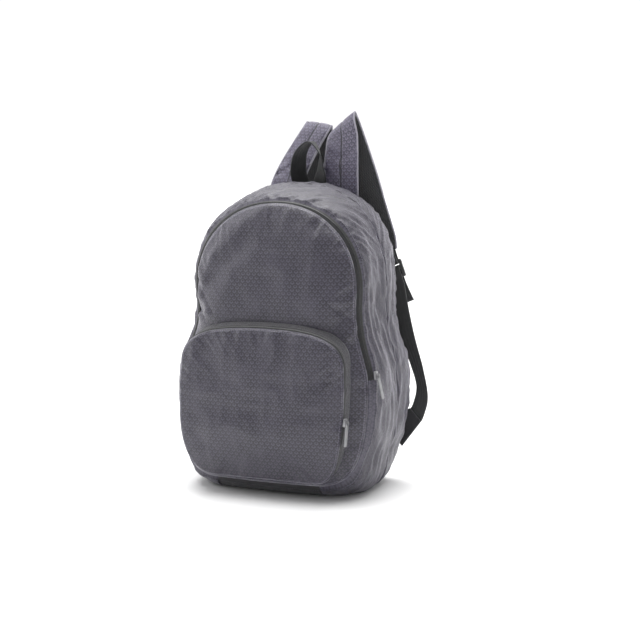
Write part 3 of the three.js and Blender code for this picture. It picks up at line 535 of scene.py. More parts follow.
class Finish:
    """A node material on a Principled shader, with coordinates in millimetres."""

    def __init__(self, name, **settings):
        self.material = bpy.data.materials.new(name)
        self.material.use_nodes = True
        self.tree = self.material.node_tree
        self.shader = self.tree.nodes["Principled BSDF"]
        for socket, value in settings.items():
            self.shader.inputs[socket.replace("_", " ")].default_value = value

    def add(self, kind, **settings):
        node = self.tree.nodes.new("ShaderNode" + kind)
        for name, value in settings.items():
            setattr(node, name, value)
        return node

    def place(self, layer):
        """The two coordinates of a UV layer."""
        node = self.add("UVMap", uv_map=layer)
        parts = self.add("SeparateXYZ")
        self.tree.links.new(node.outputs["UV"], parts.inputs[0])
        return Wire(self.tree, parts.outputs[0]), Wire(self.tree, parts.outputs[1])

    def solid_place(self):
        """The object's own coordinates, in millimetres."""
        node = self.add("TexCoord")
        scaled = self.add("VectorMath", operation="SCALE")
        scaled.inputs["Scale"].default_value = 1000
        self.tree.links.new(node.outputs["Object"], scaled.inputs[0])
        return scaled.outputs[0]

    def cloud(self, scale, detail, place=None):
        """Noise from 0 to 1 over the object's own coordinates in millimetres."""
        node = self.add("TexNoise")
        node.inputs["Scale"].default_value = scale
        node.inputs["Detail"].default_value = detail
        self.tree.links.new(self.solid_place() if place is None else place, node.inputs["Vector"])
        return Wire(self.tree, node.outputs["Fac"])

    def blend(self, factor, dark, light):
        """A colour between two colours or colour outputs."""
        node = self.add("Mix", data_type="RGBA")
        self.tree.links.new(factor.socket, node.inputs["Factor"])
        for slot, value in (("A", dark), ("B", light)):
            socket = [s for s in node.inputs if s.name == slot and s.type == "RGBA"][0]
            if isinstance(value, Wire):
                self.tree.links.new(value.socket, socket)
            else:
                socket.default_value = (*value, 1)
        return Wire(self.tree, [s for s in node.outputs if s.type == "RGBA"][0])

    def colour(self, wire):
        self.tree.links.new(wire.socket, self.shader.inputs["Base Color"])

    def roughness(self, wire):
        self.tree.links.new(wire.socket, self.shader.inputs["Roughness"])

    def bump(self, height, depth_mm):
        node = self.add("Bump")
        node.inputs["Distance"].default_value = depth_mm / 1000
        self.tree.links.new(height.socket, node.inputs["Height"])
        self.tree.links.new(node.outputs["Normal"], self.shader.inputs["Normal"])


def weave(u, v, pitch):
    """A plain weave's height, from about -1 to 1."""
    turn = 2 * math.pi / pitch
    return (u * turn).op("SINE") * (v * turn).op("SINE")


def stitches(u, away, inset):
    """1 on a line of stitches at a distance from a seam."""
    pitch = 3.2
    on_line = (away - inset).op("ABSOLUTE").less(0.32, 0.12)
    dash = ((u * (1 / pitch)).op("FRACT") - 0.45).op("ABSOLUTE").less(0.33, 0.05)
    return on_line * dash


def staggered(u, v, step_u, step_v):
    """Where a place lies in its cell of a repeat, with every other row shifted half a step."""
    row = (v * (1 / step_v)).op("FLOOR")
    shift = (row * 0.5).op("FRACT")
    x = ((u * (1 / step_u) + shift).op("FRACT") - 0.5) * step_u
    y = ((v * (1 / step_v)).op("FRACT") - 0.5) * step_v
    return x, y


def make_printed_cloth(name, tone, centre=None):
    """Slate nylon with rows of small arches over a lozenge, each row half a step from the next. tone is how
    pale it is, and for the straps' copy it holds painted light, their sheen painted in as a paler print.
    centre is how far in from its edge a strap's middle seam lies."""

    def toned(*shade):
        return tuple(tone * value for value in shade)

    tint = (0.88, 0.86, 0.95, 1)
    f = Finish(name, Sheen_Weight=0.55, Sheen_Roughness=0.3, Specular_IOR_Level=0.65, Sheen_Tint=tint)
    u, v = f.place("cloth")
    x, y = staggered(u, v, PRINT_STEP, PRINT_ROW)
    low = y + 2.0
    arch = ((x * x * 0.85 + low * low).op("SQRT") - ARCH_RADIUS).op("ABSOLUTE").less(LINE_HALF, 0.3)
    lozenge = (x.op("ABSOLUTE") * 0.8 + (low - 1.2).op("ABSOLUTE")).less(LOZENGE_HALF, 0.3)
    fade = f.cloud(0.05, 4).less(0.46, 0.25) * -0.4 + 1
    mark = arch.op("MAXIMUM", lozenge) * fade
    along, away = f.place("seam")
    thread = stitches(along, away, 2.6)
    # paler along the seams: partly wear, partly a painted highlight of the light rim that the panels' edges
    # catch
    worn = (away + f.cloud(0.09, 3) * 2.2).less(1.7, 1.0)
    heather = f.blend(f.cloud(0.9, 2), toned(0.038, 0.034, 0.052), toned(0.114, 0.103, 0.150))
    faded = f.blend(f.cloud(0.012, 5), toned(0.060, 0.054, 0.081), toned(0.108, 0.098, 0.140))
    ground = f.blend(f.cloud(0.3, 4), heather, faded)
    printed = f.blend(mark * 0.94, ground, toned(0.016, 0.014, 0.024))
    edged = f.blend(worn * 0.22, printed, (0.20, 0.19, 0.25))
    if centre:
        thread = thread.op("MAXIMUM", stitches(along, away, centre - 2.2))
        # painted shade: a near-black line down the strap's stitched middle, where its ditch lies
        ditch = (away - centre).op("ABSOLUTE").less(0.9, 0.5)
        edged = f.blend(ditch * 0.9, edged, (0.014, 0.013, 0.018))
    f.colour(f.blend(thread * 0.7, edged, (0.17, 0.16, 0.22)))
    f.roughness(f.cloud(0.02, 4) * 0.14 + 0.36)
    f.bump(weave(u, v, 0.55) * 0.06 + thread * 0.5 - mark * 0.12 + f.cloud(0.16, 4) * 1.0, 0.6)
    return f.material


def make_binding_with_painted_highlight():
    """The turned edge of a strap's cloth, coloured pale as a painted highlight along the strap's edges."""
    f = Finish("strap_edge", Sheen_Weight=0.4, Roughness=0.5, Sheen_Tint=(0.9, 0.88, 0.96, 1))
    u, v = f.place("cloth")
    # painted highlight: the binding is coloured much paler than the strap's print
    f.colour(f.blend(f.cloud(0.3, 4), (0.20, 0.19, 0.24), (0.44, 0.42, 0.49)))
    f.bump(weave(u, v, 0.6) * 0.2 + f.cloud(0.25, 3) * 0.6, 0.4)
    return f.material


def make_black_cloth():
    """Black nylon, paler where its edges are worn and on its thread."""
    pale = (0.09, 0.09, 0.095)
    f = Finish("black_nylon", Sheen_Weight=0.25, Sheen_Roughness=0.4, Sheen_Tint=(0.91, 0.90, 0.96, 1))
    u, v = f.place("cloth")
    along, away = f.place("seam")
    thread = stitches(along, away, 2.2)
    ground = f.blend(f.cloud(0.02, 5), (0.0165, 0.016, 0.019), (0.031, 0.030, 0.035))
    worn = (away + f.cloud(0.1, 3) * 2).less(1.6, 1.0)
    f.colour(f.blend(thread * 0.7, f.blend(worn * 0.4, ground, pale), pale))
    f.roughness(f.cloud(0.03, 4) * 0.16 + 0.42)
    f.bump(weave(u, v, 0.8) * 0.12 + thread * 0.5 + f.cloud(0.14, 4) * 0.8, 0.6)
    return f.material


def make_mesh_cloth():
    """Air mesh: a knitted face with staggered round holes, darkened inside as painted shade."""
    f = Finish("air_mesh", Roughness=0.78, Sheen_Weight=0.3)
    u, v = f.place("cloth")
    x, y = staggered(u, v, MESH_STEP, MESH_STEP)
    hole_with_painted_shade = (x * x + y * y).op("SQRT").less(0.95, 0.25)
    ground = f.blend(f.cloud(0.03, 4), (0.026, 0.027, 0.031), (0.046, 0.047, 0.053))
    # painted shade: the holes are coloured near black
    f.colour(f.blend(hole_with_painted_shade, ground, (0.006, 0.006, 0.007)))
    f.bump(hole_with_painted_shade * -1 + weave(u, v, 0.7) * 0.15, 0.7)
    return f.material


def make_webbing():
    """Woven webbing: ribs across it, in a shallow zigzag, and a corded edge."""
    f = Finish("webbing", Sheen_Weight=0.2, Roughness=0.66)
    u, v = f.place("cloth")
    zigzag = (u * (1 / 5.0)).op("PINGPONG", 0.5) * 3.0
    rib = ((v + zigzag) * (2 * math.pi / 1.7)).op("SINE")
    along, away = f.place("seam")
    border = away.less(1.4, 0.2)
    # painted shade and highlight: the webbing is darker in the troughs between its ribs and paler on their
    # crests
    ground = f.blend(rib * 0.5 + 0.5, (0.009, 0.010, 0.011), (0.022, 0.023, 0.025))
    worn = (away + f.cloud(0.1, 3) * 1.4).less(1.0, 0.6)
    f.colour(f.blend(worn * 0.4, ground, (0.07, 0.07, 0.075)))
    f.bump(rib * 0.4 + border * 0.8 + f.cloud(0.3, 3) * 0.4, 0.5)
    return f.material


def make_zip_tape():
    f = Finish("zip_tape", Roughness=0.55, Sheen_Weight=0.15)
    u, v = f.place("cloth")
    f.colour(f.blend(f.cloud(0.05, 4), (0.010, 0.011, 0.012), (0.022, 0.022, 0.024)))
    f.bump(weave(u, v, 0.9) * 0.3, 0.4)
    return f.material


def make_coil():
    f = Finish("zip_coil", Roughness=0.34, Specular_IOR_Level=0.6)
    f.colour(f.blend(f.cloud(0.2, 3), (0.012, 0.012, 0.013), (0.030, 0.030, 0.032)))
    f.bump(f.cloud(0.8, 3), 0.15)
    return f.material


def make_metal():
    """Satin grey metal, finely brushed and a little worn."""
    f = Finish("satin_metal", Metallic=1.0)
    stretched = f.add("VectorMath", operation="MULTIPLY")
    stretched.inputs[1].default_value = (6.0, 6.0, 0.3)
    f.tree.links.new(f.solid_place(), stretched.inputs[0])
    brushed = f.cloud(0.6, 2, stretched.outputs[0])
    smudge = f.cloud(0.15, 4)
    f.colour(f.blend(smudge, (0.17, 0.17, 0.18), (0.36, 0.36, 0.37)))
    f.roughness(brushed * 0.22 + 0.26)
    f.bump(brushed, 0.08)
    return f.material


def make_plastic():
    """Grey moulded plastic with a fine spark texture."""
    f = Finish("moulded_plastic", Specular_IOR_Level=0.5)
    grain = f.cloud(2.4, 4)
    f.colour(f.blend(f.cloud(0.06, 4), (0.055, 0.057, 0.058), (0.100, 0.102, 0.102)))
    f.roughness(grain * 0.16 + 0.36)
    f.bump(grain, 0.12)
    return f.material


# Each soft look is a material and the record's slot that it stands for
PRINTED = (make_printed_cloth("printed_nylon", PANEL_TONE), "printed_cloth")
# painted light: a paler copy of the panels' print, standing for the straps' sheen
STRAP_PRINT_PAINTED_LIGHT = (make_printed_cloth("printed_strap_nylon_painted_light", STRAP_TONE_PAINTED_LIGHT, STRAP_WIDTH / 2), "printed_cloth")
BINDING_WITH_PAINTED_HIGHLIGHT = (make_binding_with_painted_highlight(), "printed_cloth")
BLACK = (make_black_cloth(), "black_cloth")
MESH = (make_mesh_cloth(), "black_mesh")
WEBBING = (make_webbing(), "black_webbing")
ZIP_TAPE = (make_zip_tape(), "zip_tape")
COIL = (make_coil(), "zip_tape")
METAL = make_metal()
PLASTIC = make_plastic()


def note_strip(width, length):
    width * length


def grid_object(name, points, cloth, seam, look, outside, wall=SHEET_WALL, replaces=None):
    """A piece of cloth on a grid of points in millimetres. cloth and seam are the two coordinates of its UV
    layers, outside is the way that its outer face looks, and wall is its thickness, 0 for a closed piece."""
    points = np.concatenate([points[..., :2], np.maximum(points[..., 2:], 0)], axis=-1)
    rows, columns = points.shape[:2]
    index = np.arange(rows * columns).reshape(rows, columns)
    quads = np.stack([index[:-1, :-1], index[1:, :-1], index[1:, 1:], index[:-1, 1:]], axis=-1)
    quads = quads.reshape(-1, 4)
    if (sheet_normals(points) * outside).sum() < 0:
        quads = quads[:, ::-1]
    data = bpy.data.meshes.new(name)
    data.from_pydata((points.reshape(-1, 3) / 1000).tolist(), [], quads.tolist())
    data.polygons.foreach_set("use_smooth", np.ones(len(quads), bool))
    corners = np.zeros(len(data.loops), int)
    data.loops.foreach_get("vertex_index", corners)
    for label, pair in (("cloth", cloth), ("seam", seam)):
        values = np.stack(np.broadcast_arrays(*pair), axis=-1).reshape(-1, 2)
        uv = data.uv_layers.new(name=label)
        uv.data.foreach_set("uv", values[corners].astype(np.float32).ravel())
    material, slot = look
    data.materials.append(material)
    piece = bpy.data.objects.new(name, data)
    scene.collection.objects.link(piece)
    if wall:
        solid = piece.modifiers.new("wall", "SOLIDIFY")
        solid.thickness = wall / 1000
        solid.offset = -1
    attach(piece, "bag")
    if replaces:
        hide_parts(replaces)


def disc_grid(line, centre):
    """A grid of square rings inside an outline: x, z, the share of the way out, and how far along the outline
    and how far in from it each place lies."""
    steps = np.arange(-RINGS, RINGS + 1)
    up, across = np.meshgrid(steps, steps, indexing="ij")
    ring = np.maximum(np.abs(across), np.abs(up))
    turn = np.select(
        [(up == -ring) & (across >= 0), across == ring, up == ring, across == -ring],
        [across, 2 * ring + up, 4 * ring - across, 6 * ring - up],
        8 * ring + across,
    )
    place = turn / np.maximum(8 * ring, 1) * COUNT
    share = ring / RINGS
    edge = at_index(line, place)
    out = unit(at_index(outward(line), place))
    away = (1 - share) * ((edge - [0, centre]) * out).sum(-1)
    closed = np.vstack([line, line[:1]])
    along = np.interp(place, np.arange(len(closed)), run_length(closed))
    return edge[..., 0] * share, mix(centre, edge[..., 1], share), share, along, away


FORWARD = np.array([0.0, -1.0, 0.0])
BACKWARD = np.array([0.0, 1.0, 0.0])
DOWN = np.array([0.0, 0.0, -1.0])
EDGE_STOPS = np.array([0, 0.6, 1.3, 2.2, 3.4, 5])


def build_front():
    x, z, share, along, away = disc_grid(PANEL_LINE, FRONT_CENTRE)
    clear_of_pocket = ease((share_of(ROOT_LINE, POCKET_CENTRE, x, z) - 0.97) / 0.1)
    small = puckers(along, away, pitch=12, reach=26, depth=2.4, seed=11)
    small = small + crumple(x, z, pitch=42, depth=1.4, seed=12) * ease(away / 20)
    small = (small - fold_depth(FRONT_CREASES, x, z)) * clear_of_pocket
    points = moved_out(np.stack([x, front_face_y(x, z, share), z], axis=-1), small, FORWARD)
    points[..., 1] += 1.4 * np.exp(-away / 1.2)
    grid_object("front_cloth", points, (x, z), (along, away), PRINTED, FORWARD, replaces="front_panel")


def depth_stops(length, spacing):
    """Places across a strip, close together by its two edges."""
    inset = EDGE_STOPS[-1]
    count = max(int((length - 2 * inset) / spacing), 2) + 1
    middle = np.linspace(inset, length - inset, count)[1:-1]
    return np.concatenate([EDGE_STOPS, middle, length - EDGE_STOPS[::-1]])


GUSSET_DEPTH = FRONT_REACH + BACK_REACH
BASE_END = STEPS["flat"] * FINE
GUSSET_ROWS = np.arange(BASE_END, COUNT - BASE_END + 1)
OUTLINE_RUN = run_length((FRONT_LINE + BACK_LINE) / 2)


def across_zip(rows, depth):
    """The way from the gusset's front edge to the panel's, at outline rows."""
    slope = SLOPE_WAY[rows % COUNT]
    return np.column_stack([slope[:, 0], np.full(len(rows), -float(depth)), slope[:, 1]])


def below_zip(rows):
    """1 where the gusset reaches forward to the panel, and next to nothing along the zip."""
    from_foot = np.minimum(rows, COUNT - rows)
    return np.clip(ZIP_FIRST * FINE + 1 - from_foot, 0.02, 1)


def gusset_relief(points, along, from_front, to_seam, seed):
    """Puckers by the seams, long wrinkles down the sides and fine crinkles over the top."""
    top = ease((points[..., 2] - CRINKLE_HEIGHT) / CRINKLE_BLEND)
    inner = ease(from_front / 6) * ease(to_seam / 6)
    by_front = puckers(along, from_front, pitch=9, reach=15, depth=2.1, seed=seed)
    by_seam = puckers(along, to_seam, pitch=10, reach=11, depth=1.7, seed=seed + 5)
    long = crumple(along * 0.3, from_front + 0.12 * along, pitch=15, depth=1.7, seed=seed + 9) * inner
    fine = crumple(along + 0.8 * from_front, from_front * 0.4, pitch=13, depth=1.3, seed=seed + 12) * inner
    seam_line = SEAM_DIP * np.exp(-((to_seam / SEAM_DIP_HALF) ** 2))
    puckered = (by_front + by_seam) * mix(0.85, 1.1, top)
    return puckered + long * (1 - top) + fine * mix(0.25, 1.0, top) - seam_line


def build_gusset():
    outside = upright(MIDDLE_OUT[GUSSET_ROWS % COUNT])[:, None]
    along = OUTLINE_RUN[GUSSET_ROWS][:, None]
    seam_place = REAR_SEAM * GUSSET_DEPTH
    strips = (
        ("gusset_front_cloth", "gusset_front", 0, seam_place, 21),
        ("gusset_rear_cloth", "gusset_rear", seam_place + GAP, GUSSET_DEPTH, 31),
    )
    for name, node, start, end, seed in strips:
        stops = start + depth_stops(end - start, 3.0)
        points = gusset_points(GUSSET_ROWS, stops / GUSSET_DEPTH)
        edges = [(stops - start)[None], (end - stops)[None]]
        outer_edge, seam_edge = edges if start == 0 else edges[::-1]
        points = moved_out(points, gusset_relief(points, along, outer_edge, seam_edge, seed), outside)
        if start == 0:
            reach = below_zip(GUSSET_ROWS)[:, None]
            lip = points[:, :1] + (across_zip(GUSSET_ROWS, ZIP_WIDTH + GAP) * reach)[:, None]
            points = np.concatenate([lip, (lip + points[:, :1]) / 2, points], axis=1)
            stops = np.concatenate([[-ZIP_WIDTH, -ZIP_WIDTH / 2], stops])
        away = np.minimum(np.maximum(stops - start, 0), end - stops)
        note_strip(stops[-1] - stops[0], along[-1, 0] - along[0, 0])
        grid_object(name, points, (along, stops), (along, away), PRINTED, outside, replaces=node)


def build_base():
    rows = np.arange(-BASE_END, BASE_END + 1)
    stops = depth_stops(GUSSET_DEPTH, 4.0)
    points = gusset_points(rows, stops / GUSSET_DEPTH)
    lip = points[:, :1] + FORWARD * (ZIP_WIDTH + GAP)
    points = np.concatenate([lip, points], axis=1)
    stops = np.concatenate([[-ZIP_WIDTH], stops])
    along = (np.where(rows < 0, -1, 1) * OUTLINE_RUN[np.abs(rows)])[:, None]
    away = np.minimum(np.maximum(stops, 0), GUSSET_DEPTH - stops)
    note_strip(stops[-1] - stops[0], along[-1, 0] - along[0, 0])
    grid_object("base_cloth", points, (along, stops), (along, away), BLACK, DOWN, replaces="base_panel")


def build_back():
    """The mesh back, pressed flat at its top where the straps' ends lie on it."""
    x, z, share, along, away = disc_grid(BACK_LINE, BACK_CENTRE)
    small = puckers(along, away, pitch=16, reach=22, depth=1.0, seed=41)
    small = small + crumple(x, z, pitch=60, depth=0.5, seed=42) * ease(away / 15)
    under_straps = ease((z - PRESSED_FROM) / 20) * ease((PRESSED_HALF - np.abs(x)) / 12)
    small = mix(small, -0.4, under_straps)
    points = moved_out(np.stack([x, back_face_y(share), z], axis=-1), small, BACKWARD)
    grid_object("back_cloth", points, (x, z), (along, away), MESH, BACKWARD, replaces="back_panel")


def build_zip(name, near, far, outside):
    """Two tapes and a coil between two lines of points, one on each side of the zip."""
    run = run_length((near + far) / 2)
    shares = np.array([0, 0.3, 0.42, 0.5, 0.58, 0.7, 1])
    points = near[:, None] + (far - near)[:, None] * shares[None, :, None]
    cloth = (run[:, None], shares * np.linalg.norm(far - near, axis=-1).mean())
    grid_object(name + "_tape", points, cloth, cloth, ZIP_TAPE, outside[:, None], TAPE_WALL, name)
    stops = np.arange(0, run[-1], TOOTH_PITCH)
    near, far, out = (
        np.column_stack([np.interp(stops, run, values) for values in side.T]) for side in (near, far, outside)
    )
    middle, way, out = ((near + far) / 2)[:, None], unit(far - near)[:, None], unit(out)[:, None]
    angle = np.linspace(0, math.pi, 7)[None, :, None]
    tooth = np.where(np.arange(len(stops)) % 2, 1.0, SHORT_TOOTH)[:, None, None]
    coil = middle + tooth * (way * np.cos(angle) * COIL_HALF + out * np.sin(angle) * COIL_HEIGHT)
    cloth = (stops[:, None], np.linspace(0, 4, 7))
    grid_object(name + "_coil", coil, cloth, cloth, COIL, out, wall=0)


def build_main_zip():
    rows = np.arange(ZIP_FIRST * FINE, COUNT - ZIP_FIRST * FINE + 1)
    near = gusset_points(rows, np.array([0.0]))[:, 0] + FORWARD * GAP
    turned = upright(MIDDLE_OUT[rows] * ZIP_WIDTH)
    turned[:, 1] = -SLOPE[rows]
    build_zip("main_zip", near, near + across_zip(rows, ZIP_WIDTH), unit(turned))


def pocket_sides():
    """Where the pocket's side meets the front, and where it meets the pocket's face."""
    x, z = ROOT_LINE.T
    share = np.minimum(share_of(FRONT_LINE, FRONT_CENTRE, x, z), 1)
    root = np.stack([x, front_face_y(x, z, share) - POCKET_CLEARANCE, z], axis=-1)
    x, z = FACE_LINE.T
    face = np.stack([x, pocket_edge_y(z) + WALL + GAP, z], axis=-1)
    return root, face


def build_pocket_face():
    x, z, share, along, away = disc_grid(FACE_LINE, POCKET_CENTRE)
    free = (1 - share**POCKET_FLATNESS) * pocket_opens(z)
    y = pocket_edge_y(z) - POCKET_BULGE * free + fold_depth(POCKET_FOLDS, x, z) * ease(2 * free)
    small = puckers(along, away, pitch=12, reach=22, depth=2.3, seed=51)
    small = small + crumple(x, z, pitch=40, depth=1.7, seed=52) * ease(away / 18)
    points = moved_out(np.stack([x, y, z], axis=-1), small, FORWARD)
    points[..., 1] += 1.6 * np.exp(-away / 1.4)
    seam = (along, away)
    grid_object("pocket_face_cloth", points, (x, z + 3), seam, PRINTED, FORWARD, replaces="pocket_face")


def build_pocket_side():
    """The pocket's black gusset and its zip, as far round as the pocket stands off the front."""
    root, face = pocket_sides()
    open_rows = np.flatnonzero(root[:, 1] - face[:, 1] > POCKET_GUSSET_LEAST)
    root, face = root[open_rows], face[open_rows]
    out = upright(outward(FACE_LINE)[open_rows])
    depth = np.linalg.norm(root - face, axis=-1)[:, None]
    first = (ZIP_WIDTH + GAP) / depth
    way = mix(first, 1.0, np.linspace(0, 1, 9)[None, :])
    points = face[:, None] + (root - face)[:, None] * way[..., None]
    run = run_length(face)
    along = run[:, None] + 0 * way
    away = np.minimum(way - first, 1 - way) * depth
    points = moved_out(points, puckers(along, away, pitch=11, reach=9, depth=0.9, seed=61), out[:, None])
    cloth, seam = (along, way * depth), (along, away)
    note_strip(depth.mean() - ZIP_WIDTH - GAP, run[-1])
    grid_object("pocket_gusset_cloth", points, cloth, seam, BLACK, out[:, None], replaces="pocket_gusset")
    build_zip("pocket_zip", face, face + (root - face) * ZIP_WIDTH / depth, out)


def catmull(points, steps):
    """Evenly divided centripetal spline through points."""
    points = np.array(points, float)
    first = 2 * points[0] - points[1]
    last = 2 * points[-1] - points[-2]
    padded = np.vstack([first, points, last])
    result = []
    for k in range(steps + 1):
        place = (len(points) - 1) * k / steps
        i = min(int(place), len(points) - 2)
        weight = place - i
        p0, p1, p2, p3 = padded[i : i + 4]
        t0, t1, t2 = (max(np.linalg.norm(b - a), 1e-8) ** 0.5 for a, b in ((p0, p1), (p1, p2), (p2, p3)))
        pull_in = ((p1 - p0) / t0 - (p2 - p0) / (t0 + t1) + (p2 - p1) / t1) * t1
        pull_out = ((p2 - p1) / t1 - (p3 - p1) / (t1 + t2) + (p3 - p2) / t2) * t1
        a = 2 * p1 - 2 * p2 + pull_in + pull_out
        b = -3 * p1 + 3 * p2 - 2 * pull_in - pull_out
        result.append(p1 + pull_in * weight + b * weight**2 + a * weight**3)
    return np.array(result)


def ribbon(places, ways, steps, columns):
    """Rows of points across a ribbon."""
    line, across = catmull(places, steps), catmull(ways, steps)
    return line[:, None] + across[:, None] * (np.linspace(0, 1, columns + 1) - 0.5)[None, :, None]


def strap_path(stations):
    low = max(i for i, s in enumerate(stations) if s[2] > 0)
    places, ways = [], []
    for i, (out, back, up, tilt, turn, wide) in enumerate(stations):
        rise = up * (STRAP_DROP if i > low else STRAP_RISE)
        a, b = math.radians(tilt), math.radians(turn)
        way = np.array([math.cos(a) * math.cos(b), math.cos(a) * math.sin(b), math.sin(a)])
        places.append((STRAP_SPREAD + out * STRAP_SPLAY, STRAP_ROOT_Y + back * STRAP_REACH, BACK_TOP + rise))
        ways.append(-STRAP_WIDTH * wide * way)
    return places, ways


def lifted(rows, distance):
    """Rows moved out of their sheet, or into it where the distance is negative."""
    return rows + sheet_normals(rows) * np.asarray(distance)[..., None]


def transform(points, matrix):
    points = np.asarray(points, float)
    return points @ matrix[:3, :3].T + matrix[:3, 3]


def basis(x, y, z, place):
    matrix = np.eye(4)
    matrix[:3, 0], matrix[:3, 1], matrix[:3, 2], matrix[:3, 3] = x, y, z, place
    return matrix


LOCK_HEIGHT = 3 * BAR_HEIGHT + UPPER_SLOT + LOWER_SLOT
OUTER_TURN = LOCK_THICK / 2 + SLOT_PLAY + WEBBING_WALL
TOP_BAR_FOOT = LOCK_HEIGHT / 2 - BAR_HEIGHT
MIDDLE_BAR_TOP = TOP_BAR_FOOT - UPPER_SLOT
RIBBON_WIDTH = WEBBING_WIDTH - 1
STRAP_STEPS = 30


def lock_frame(stations):
    """The ladder lock's frame at a strap's end, worked out on the solids' own rows."""
    rows = lifted(ribbon(*strap_path(stations), STRAP_STEPS, 2), -(STRAP_CLOTH + LAYER_GAP + STRAP_PAD) / 2)
    end = rows[-1, 1]
    up = unit(rows[-2, 1] - end)
    out = unit(np.cross(unit(rows[-1, 2] - rows[-1, 0]), up))
    return basis(np.cross(up, out), up, out, end - up * LOCK_DROP)


def anchor_frame():
    right = BACK_LINE[::FINE][: COUNT // FINE // 2]
    corner = right[np.argmin(np.abs(right[:, 1] - ANCHOR_HEIGHT))]
    out, back = unit(np.array([1.0, 0, ANCHOR_RISE])), np.array([0.0, 1, 0])
    place = (corner[0] - ANCHOR_INSET, BACK_REACH + GAP + WALL + ANCHOR_STAND_OFF, corner[1])
    return basis(out, np.cross(back, out), back, place)


def lock_row(y, z, way, columns=6):
    line = np.linspace(-0.5, 0.5, columns + 1)
    return np.stack([way * RIBBON_WIDTH * line, 0 * line + y, 0 * line + z], axis=-1)


def turn_rows(middle, side, way, steps=12):
    angles = np.linspace(0, math.pi, steps + 1)
    return [lock_row(middle + side * OUTER_TURN * math.sin(a), OUTER_TURN * math.cos(a), way) for a in angles]


def webbing_rows(lock, tab):
    """From the free tail over the lock's middle bar, behind it and down to the anchor tab."""
    tail_top = MIDDLE_BAR_TOP - LOCK_HEIGHT * 0.8
    shares = np.linspace(1, 0, 10)
    tail = [lock_row(tail_top - TAIL_LENGTH * s, OUTER_TURN + TAIL_FLARE * s**1.5, -1) for s in shares]
    head = transform(np.array(tail + turn_rows(MIDDLE_BAR_TOP - BAR_INSET, 1, -1)), lock)
    leave = transform([0, MIDDLE_BAR_TOP - LOCK_HEIGHT, -OUTER_TURN], lock)
    behind = ANCHOR_WALL + WEBBING_WALL + GAP
    tip = transform([ANCHOR_INSET + ANCHOR_REACH + GAP, 0, behind], tab)
    landing = transform([ANCHOR_INSET + ANCHOR_REACH / 3, 0, behind], tab)
    at_lock, at_tab = -lock[:3, 0] * RIBBON_WIDTH, tab[:3, 1] * RIBBON_WIDTH
    places = [mix(leave, tip, s) + [out, back, 0] for s, out, back in STRAND] + [tip, landing]
    ways = [unit(mix(at_lock, at_tab, float(ease(s)))) * RIBBON_WIDTH for s, _, _ in STRAND]
    return np.concatenate([head, ribbon(places, ways + [at_tab, at_tab], 70, 6)])


def ribbon_layers(rows):
    """The two pairs of UV coordinates of a ribbon: across and along it, and along it and in from its edge."""
    run = run_length(rows[:, rows.shape[1] // 2])[:, None]
    across = run_length(rows.swapaxes(0, 1)).T
    away = np.minimum(across, across[:, -1:] - across)
    return (across, run), (run, away)


def ribbon_object(name, rows, look, side, wall, node):
    """A ribbon whose outer face is the one that its rows were laid for. side is -1 for a mirrored one."""
    cloth, seam = ribbon_layers(rows)
    width, length = cloth[0][:, -1], seam[0][-1, 0]
    width.mean() * length
    mirror = np.array([side, 1, 1])
    grid_object(name, rows * mirror, cloth, seam, look, sheet_normals(rows) * mirror, wall, node)


def edge_cord(name, line, side):
    """The thin round binding of a strap's edge, along a line of points."""
    tangent = unit(np.gradient(line, axis=0))
    first = unit(np.cross(tangent, [0.3, 0.2, 0.9]))
    second = np.cross(tangent, first)
    angle = np.linspace(0, 2 * math.pi, 9)
    turn = angle[None, :, None]
    spoke = BINDING_RADIUS * (first[:, None] * np.cos(turn) + second[:, None] * np.sin(turn))
    cloth = (run_length(line)[:, None], angle * BINDING_RADIUS)
    mirror = np.array([side, 1, 1])
    grid_object(name, (line[:, None] + spoke) * mirror, cloth, cloth, BINDING_WITH_PAINTED_HIGHLIGHT, spoke * mirror, wall=0)


def lock_tab_rows():
    """The webbing that holds a lock to its strap: down in front, round the top bar and up behind."""
    top, turn = LOCK_DROP + TAB_OVERLAP, TOP_BAR_FOOT + BAR_INSET

    def leg(share, side):
        return lock_row(mix(top, turn, share), side * mix(OUTER_TURN + TAB_SPREAD, OUTER_TURN, share), 1)

    return np.array([leg(0, 1), leg(0.5, 1), *turn_rows(turn, -1, 1), leg(0.5, -1), leg(0, -1)])


def anchor_rows():
    """The anchor tab's face, which narrows to the webbing's width and is pressed down along its edges."""
    reach = np.linspace(0, ANCHOR_REACH + ANCHOR_INSET, 20)[:, None]
    half = mix(ANCHOR_BASE, WEBBING_WIDTH, reach / reach[-1]) / 2
    line = np.linspace(-1, 1, 15)[None, :]
    inset = np.minimum((1 - np.abs(line)) * half, np.minimum(reach, reach[-1] - reach) + 0.3)
    return np.stack([reach + 0 * line, half * line, ANCHOR_WALL - 0.7 * np.exp(-inset / 1.2)], axis=-1)


